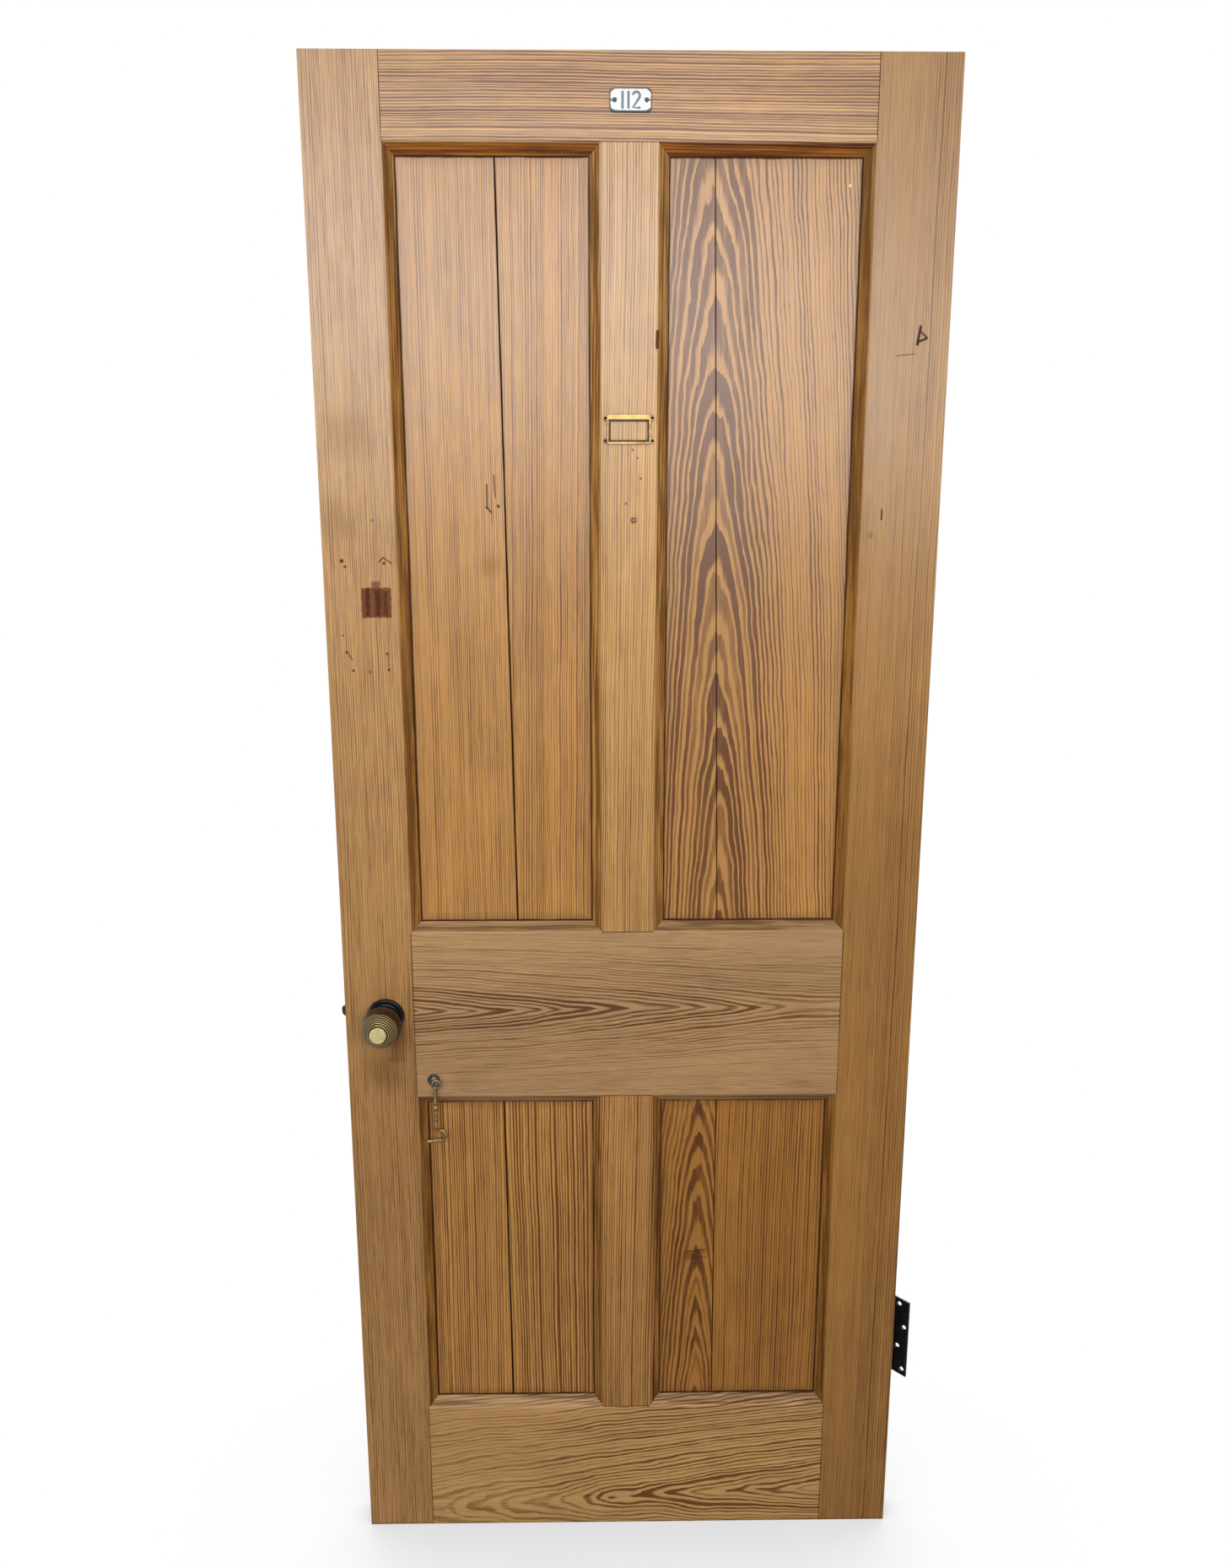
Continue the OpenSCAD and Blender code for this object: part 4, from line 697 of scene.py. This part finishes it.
def knob_metal(side):
    """Brown lacquered brass with painted shade in the hollows of its reeds and painted highlights on their
    crowns, worn bright on the end disc.
    """
    g = metal("aged brass knob " + side, srgb(78, 56, 30), srgb(44, 31, 17), 0.38)
    off = g.hypot(g.sub(g.x, KNOB_X), g.sub(g.z, KNOB_Z))
    out = g.abs(g.y)
    turn = g.math("ARCTAN2", g.sub(out, REEDS_OUT), g.add(off, REEDS_INWARD))
    reed = g.math("DIVIDE", g.sub(FIRST_REED, turn), REED_ANGLE)
    band = g.mul(g.step(reed, -0.5, -0.3), g.fall(reed, LAST_REED + 0.3, LAST_REED + 0.5))
    cover = g.mul(band, REED_COVER)
    wave = g.math("COSINE", g.mul(reed, 2 * math.pi))
    # Painted shade in the reeds' hollows and painted highlights on their crowns
    colour = g.mix(g.mul(g.step(wave, *REED_HOLLOW_SHADE), cover), g.base(), srgb(20, 14, 8))
    colour = g.mix(g.mul(g.step(wave, *REED_CROWN_HIGHLIGHT), cover), colour, srgb(204, 178, 116))
    worn = g.mul(g.fall(off, *DISC_EDGE), g.step(out, *DISC_OUT))
    disc = g.mix(g.noise(g.co, 110.0, 2.0), srgb(236, 224, 156), srgb(160, 142, 84))
    g.set(Base_Color=g.mix(worn, colour, disc), Metallic=g.sub(KNOB_METALLIC, g.mul(worn, DISC_LESS)))
    return g.mat


# Places on the card frame, from its centre
CARD_X, CARD_Z = -0.0025, 1.56415
BAR_FOOT, BAR_END = (0.0110, 0.0120), (0.0240, 0.0250)
LIP_HALF_WIDTH, LIP_HALF_HEIGHT, LIP_EDGE = 0.0246, 0.0131, (-0.0002, 0.0004)
BAR_HIGHLIGHT_COVER, LIP_COVER = 0.6, 0.95


def card_metal():
    """Brass, rubbed on its rim, with a painted highlight along the top bar, and black in the sunk lip."""
    g = metal("card frame brass", srgb(178, 144, 88), srgb(118, 88, 50), 0.40, metallic=0.6, scale=90.0)
    across = g.abs(g.sub(g.x, CARD_X))
    up = g.sub(g.z, CARD_Z)
    # Painted highlight: the top bar is lighter
    top_bar_highlight = g.mul(g.step(up, *BAR_FOOT), g.fall(across, *BAR_END))
    colour = g.mix(g.mul(top_bar_highlight, BAR_HIGHLIGHT_COVER), g.base(), srgb(186, 150, 88))
    over = g.most(g.sub(across, LIP_HALF_WIDTH), g.sub(g.abs(up), LIP_HALF_HEIGHT))
    lip = g.fall(over, *LIP_EDGE)
    g.set(Base_Color=g.mix(g.mul(lip, LIP_COVER), colour, srgb(20, 11, 5)))
    return g.mat


# Enamel number plate, with sizes from its centre

PLATE_X, PLATE_Z = -0.0013, 1.929
PLATE_HALF_WIDTH, PLATE_HALF_HEIGHT, PLATE_CORNER = 0.024, 0.0125, 0.005
RIM_WIDTH, RIM_WOBBLE = (0.0006, 0.0011), 0.0018
CHIP_ACROSS, CHIP_HEIGHT, CORNER_CHIP = (0.017, 0.021), (0.006, 0.010), 0.0011
FOOT_CHIP_RANGE, FOOT_CHIP = (-0.0105, -0.0085), 0.0007
PIN_OFF, PIN_END = 0.0185, 0.0195
STREAK_RANGE, RUST_RANGE, RUST_COVER = (0.0006, 0.0014), (0.0022, 0.0034), 0.9


def enamel():
    """White enamel with a chipped black rim and rust by its two pins."""
    g = Graph("white enamel")
    across = g.abs(g.sub(g.x, PLATE_X))
    up = g.sub(g.z, PLATE_Z)
    height = g.abs(up)
    past_x = g.most(g.sub(across, PLATE_HALF_WIDTH - PLATE_CORNER), 0.0)
    past_z = g.most(g.sub(height, PLATE_HALF_HEIGHT - PLATE_CORNER), 0.0)
    inset = g.sub(PLATE_CORNER, g.hypot(past_x, past_z))
    wobble = g.mul(g.sub(g.noise(g.co, 420.0, 3.0), 0.5), RIM_WOBBLE)
    corner_chips = g.mul(g.step(across, *CHIP_ACROSS), g.step(height, *CHIP_HEIGHT, 0.0, CORNER_CHIP))
    foot_chips = g.fall(up, *FOOT_CHIP_RANGE, FOOT_CHIP)
    inset = g.sub(g.add(inset, wobble), g.add(corner_chips, foot_chips))
    rim = g.fall(inset, *RIM_WIDTH)
    white = g.mix(g.noise(g.co, 90.0, 3.0), srgb(250, 251, 251), srgb(236, 238, 239))
    streak = g.fall(g.add(height, wobble), *STREAK_RANGE, RUST_COVER)
    streak = g.mul(g.step(across, PIN_OFF, PIN_END), streak)
    ring = g.hypot(g.sub(across, PIN_OFF), height)
    rust = g.most(streak, g.fall(g.add(ring, wobble), *RUST_RANGE, RUST_COVER))
    colour = g.mix(rust, white, srgb(62, 44, 36))
    colour = g.mix(rim, colour, srgb(24, 24, 26))
    g.set(Base_Color=colour, Roughness=0.30, Coat_Weight=0.15, Coat_Roughness=0.1)
    return g.mat


# Which fitting has which finish

black_lacquer = metal("black lacquer", srgb(30, 30, 31), srgb(20, 19, 19), 0.28, metallic=0.3, coat=0.6).mat
black_iron = metal("black iron", srgb(44, 40, 38), srgb(30, 26, 24), 0.48, metallic=0.6).mat
dark_brass = metal("dark brass", srgb(56, 45, 31), srgb(30, 25, 20), 0.42).mat
gunmetal = metal("dark gunmetal", srgb(84, 84, 82), srgb(40, 39, 38), 0.30, metallic=0.55).mat
hook_brass = metal("hook brass", srgb(158, 131, 82), srgb(66, 50, 29), 0.30, metallic=0.6, scale=160.0).mat
steel = metal("plain steel", srgb(150, 148, 145), srgb(110, 107, 104), 0.42).mat
FITTINGS = (
    (knob_metal("front"), ("front_knob",)),
    (knob_metal("back"), ("back_knob",)),
    (black_lacquer, ("front_rose", "back_rose", "number_plate_pins")),
    (black_iron, ("upper_hinge_door_flap", "upper_hinge_frame_flap", "upper_hinge_pin",
                  "lower_hinge_door_flap", "lower_hinge_frame_flap", "lower_hinge_pin", "hinge_screws")),
    (gunmetal, ("hook_stud", "hook_cap")),
    (hook_brass, ("cabin_hook",)),
    (card_metal(), ("card_frame",)),
    (enamel(), ("number_plate",)),
    (dark_brass, ("card_frame_pins", "latch_bolt", "latch_forend", "forend_screws", "latch_follower")),
    (steel, ("latch_case", "latch_cap", "latch_spring", "spindle", "knob_grub_screws",
             "front_rose_plate", "back_rose_plate", "rose_screws")),
)
for fitting_metal, fitting_names in FITTINGS:
    for fitting_name in fitting_names:
        dress(fitting_name, fitting_metal)


# Figures on the number plate, in millimetres

FIGURE_FOOT, FIGURE_HEAD = -9.3, 9.3
FIRST_ONE, SECOND_ONE = -9.4, -2.6
TWO_BOWL, TWO_RADIUS = (6.4, 4.4), 4.0
TWO_BASE = ((2.6, -8.2), (11.2, -8.2))
FIGURE_STROKE, FIGURE_LIFT, FIGURE_ROOT = 2.8, 0.12, 0.05
PLATE_FRONT = (-1.3, -21.6, 1929.0)


def ribbon(name, lines, width, lift, origin, mat, body):
    """Flat figure strokes with round turns, standing just proud of a front surface."""
    verts, faces = [], []
    for points in lines:
        last = len(points) - 1
        for i, (px, pz) in enumerate(points):
            ax, az = points[max(i - 1, 0)]
            bx, bz = points[min(i + 1, last)]
            length = math.hypot(bx - ax, bz - az)
            nx, nz = -(bz - az) / length * width / 2, (bx - ax) / length * width / 2
            base = len(verts)
            for depth in (-lift, FIGURE_ROOT):
                for side in (1, -1):
                    x = origin[0] + px + side * nx
                    z = origin[2] + pz + side * nz
                    verts.append(metres(x, origin[1] + depth, z))
            if i:
                a, b = base - 4, base
                faces += [(a, b, b + 1, a + 1), (a, a + 2, b + 2, b)]
                faces += [(a + 1, b + 1, b + 3, a + 3), (a + 2, a + 3, b + 3, b + 2)]
            if i == 0:
                faces.append((base, base + 1, base + 3, base + 2))
            if i == last:
                faces.append((base, base + 2, base + 3, base + 1))
    mesh = bpy.data.meshes.new(name)
    mesh.from_pydata(verts, [], faces)
    mesh.materials.append(mat)
    mesh.update()
    obj = bpy.data.objects.new(name, mesh)
    scene.collection.objects.link(obj)
    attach(obj, body)


def figure_two():
    """The centre line of the figure two."""
    points = []
    for degrees in range(170, -46, -15):
        angle = math.radians(degrees)
        x = TWO_BOWL[0] + TWO_RADIUS * math.cos(angle)
        z = TWO_BOWL[1] + TWO_RADIUS * math.sin(angle)
        points.append((x, z))
    return points + list(TWO_BASE)


ink = Graph("blue grey figures")
ink_colour = ink.mix(ink.noise(ink.co, 300.0, 3.0), srgb(84, 102, 126), srgb(108, 126, 148))
ink.set(Base_Color=ink_colour, Roughness=0.3)
ones = [[(x, FIGURE_FOOT), (x, FIGURE_HEAD)] for x in (FIRST_ONE, SECOND_ONE)]
ribbon("plate_figures", ones + [figure_two()], FIGURE_STROKE, FIGURE_LIFT, PLATE_FRONT, ink.mat, "leaf")


# Latch spring: a copy with a mesh of its own in place of the CAD node; the real spring shortens as the bolt
# is drawn

return_spring = bpy.data.objects.new("return_spring", nodes["latch_spring"].data.copy())
scene.collection.objects.link(return_spring)
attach(return_spring, "leaf")
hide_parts("latch_spring")
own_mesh(return_spring)


# Floor and background

FLOOR_HALF = 14.0
FLOOR_COLOUR = (0.22, 0.215, 0.21, 1.0)
SHADOW_REACH, SHADOW_SAMPLES = 0.35, 12
SHADOW_RANGE, SHADOW_GREY = (0.45, 1.0), 0.72
WORLD_COLOUR, WORLD_STRENGTH = (1.0, 0.95, 0.88, 1), 0.11


def show_background(tree, unseen, seen, output):
    """Shows one shader to rays from the camera, off gloss and through glass, and another to the rest."""
    path = tree.nodes.new("ShaderNodeLightPath")
    shown = path.outputs["Is Camera Ray"]
    for kind in ("Is Glossy Ray", "Is Transmission Ray"):
        either = tree.nodes.new("ShaderNodeMath")
        either.operation = "MAXIMUM"
        tree.links.new(shown, either.inputs[0])
        tree.links.new(path.outputs[kind], either.inputs[1])
        shown = either.outputs[0]
    blend = tree.nodes.new("ShaderNodeMixShader")
    tree.links.new(shown, blend.inputs[0])
    tree.links.new(unseen.outputs[0], blend.inputs[1])
    tree.links.new(seen.outputs[0], blend.inputs[2])
    tree.links.new(blend.outputs[0], output.inputs[0])


def stage_floor():
    """Pale floor that shows as white, with a painted soft shadow of the object where it stands."""
    mesh = bpy.data.meshes.new("floor")
    s = FLOOR_HALF
    mesh.from_pydata([(-s, -s, 0), (s, -s, 0), (s, s, 0), (-s, s, 0)], [], [(0, 1, 2, 3)])
    g = Graph("pale floor")
    g.set(Base_Color=FLOOR_COLOUR, Roughness=0.8)
    glow = g.tree.nodes.new("ShaderNodeEmission")
    # Painted shadow: the white glow dims where the floor is closed in by the object
    shadow = g.step(g.crevice(SHADOW_REACH, SHADOW_SAMPLES), *SHADOW_RANGE, SHADOW_GREY, 1.0)
    g.put(glow.inputs[0], g.grey(shadow))
    show_background(g.tree, g.bsdf, glow, g.out)
    mesh.materials.append(g.mat)
    obj = bpy.data.objects.new("floor", mesh)
    scene.collection.objects.link(obj)


def studio_world():
    """Dim warm light from all round, and a white background."""
    world = bpy.data.worlds.new("studio")
    world.use_nodes = True
    tree = world.node_tree
    tree.nodes.clear()
    output = tree.nodes.new("ShaderNodeOutputWorld")
    fill = tree.nodes.new("ShaderNodeBackground")
    fill.inputs[0].default_value = WORLD_COLOUR
    fill.inputs[1].default_value = WORLD_STRENGTH
    white = tree.nodes.new("ShaderNodeBackground")
    white.inputs[0].default_value = (1, 1, 1, 1)
    show_background(tree, fill, white, output)
    scene.world = world


stage_floor()
studio_world()


# Lights: name, place, target, width, height, watts, colour

LIGHTS = (
    ("sheen", (-0.30, -3.0, 2.17), (0.0, 0.0, 1.50), 2.6, 1.0, 62.0, (0.92, 0.96, 1.0)),
    ("overhead", (-0.3, -1.9, 3.5), (0.0, 0.0, 1.2), 2.4, 1.4, 15.0, (1.0, 0.97, 0.90)),
    ("fill", (1.30, -3.0, 1.85), (0.2, 0.0, 1.45), 0.8, 0.7, 15.0, (1.0, 0.95, 0.86)),
    ("back", (0.20, 2.9, 2.30), (0.0, 0.0, 1.10), 2.4, 1.4, 66.0, (1.0, 0.98, 0.94)),
)


def softbox(name, place, target, width, height, watts, colour):
    """A rectangular lamp that faces its target."""
    light = bpy.data.lights.new(name, "AREA")
    light.shape = "RECTANGLE"
    light.size, light.size_y = width, height
    light.energy = watts
    light.color = colour
    obj = bpy.data.objects.new(name, light)
    obj.location = place
    obj.rotation_euler = (Vector(target) - Vector(place)).to_track_quat("-Z", "Y").to_euler()
    scene.collection.objects.link(obj)


for lamp in LIGHTS:
    softbox(*lamp)


# Camera, as solved from the photograph: focal length in its pixels, place, downward tilt and turn

PHOTO_HEIGHT = 1859.0
PHOTO_FOCAL_LENGTH = 1426.3
SENSOR = 36.0
CAMERA_PLACE = (-0.03932, -1.53625, 1.45810)
CAMERA_TILT, CAMERA_TURN = 0.215775, -0.013184


def photo_camera():
    """The camera at the photograph's viewing angle."""
    camera = bpy.data.cameras.new("camera")
    camera.sensor_width = SENSOR
    camera.lens = PHOTO_FOCAL_LENGTH / PHOTO_HEIGHT * SENSOR
    camera.clip_end = 60.0
    obj = bpy.data.objects.new("camera", camera)
    obj.location = CAMERA_PLACE
    obj.rotation_euler = (math.pi / 2 - CAMERA_TILT, 0.0, CAMERA_TURN)
    scene.collection.objects.link(obj)
    scene.camera = obj


photo_camera()
scene.view_settings.view_transform = "Standard"
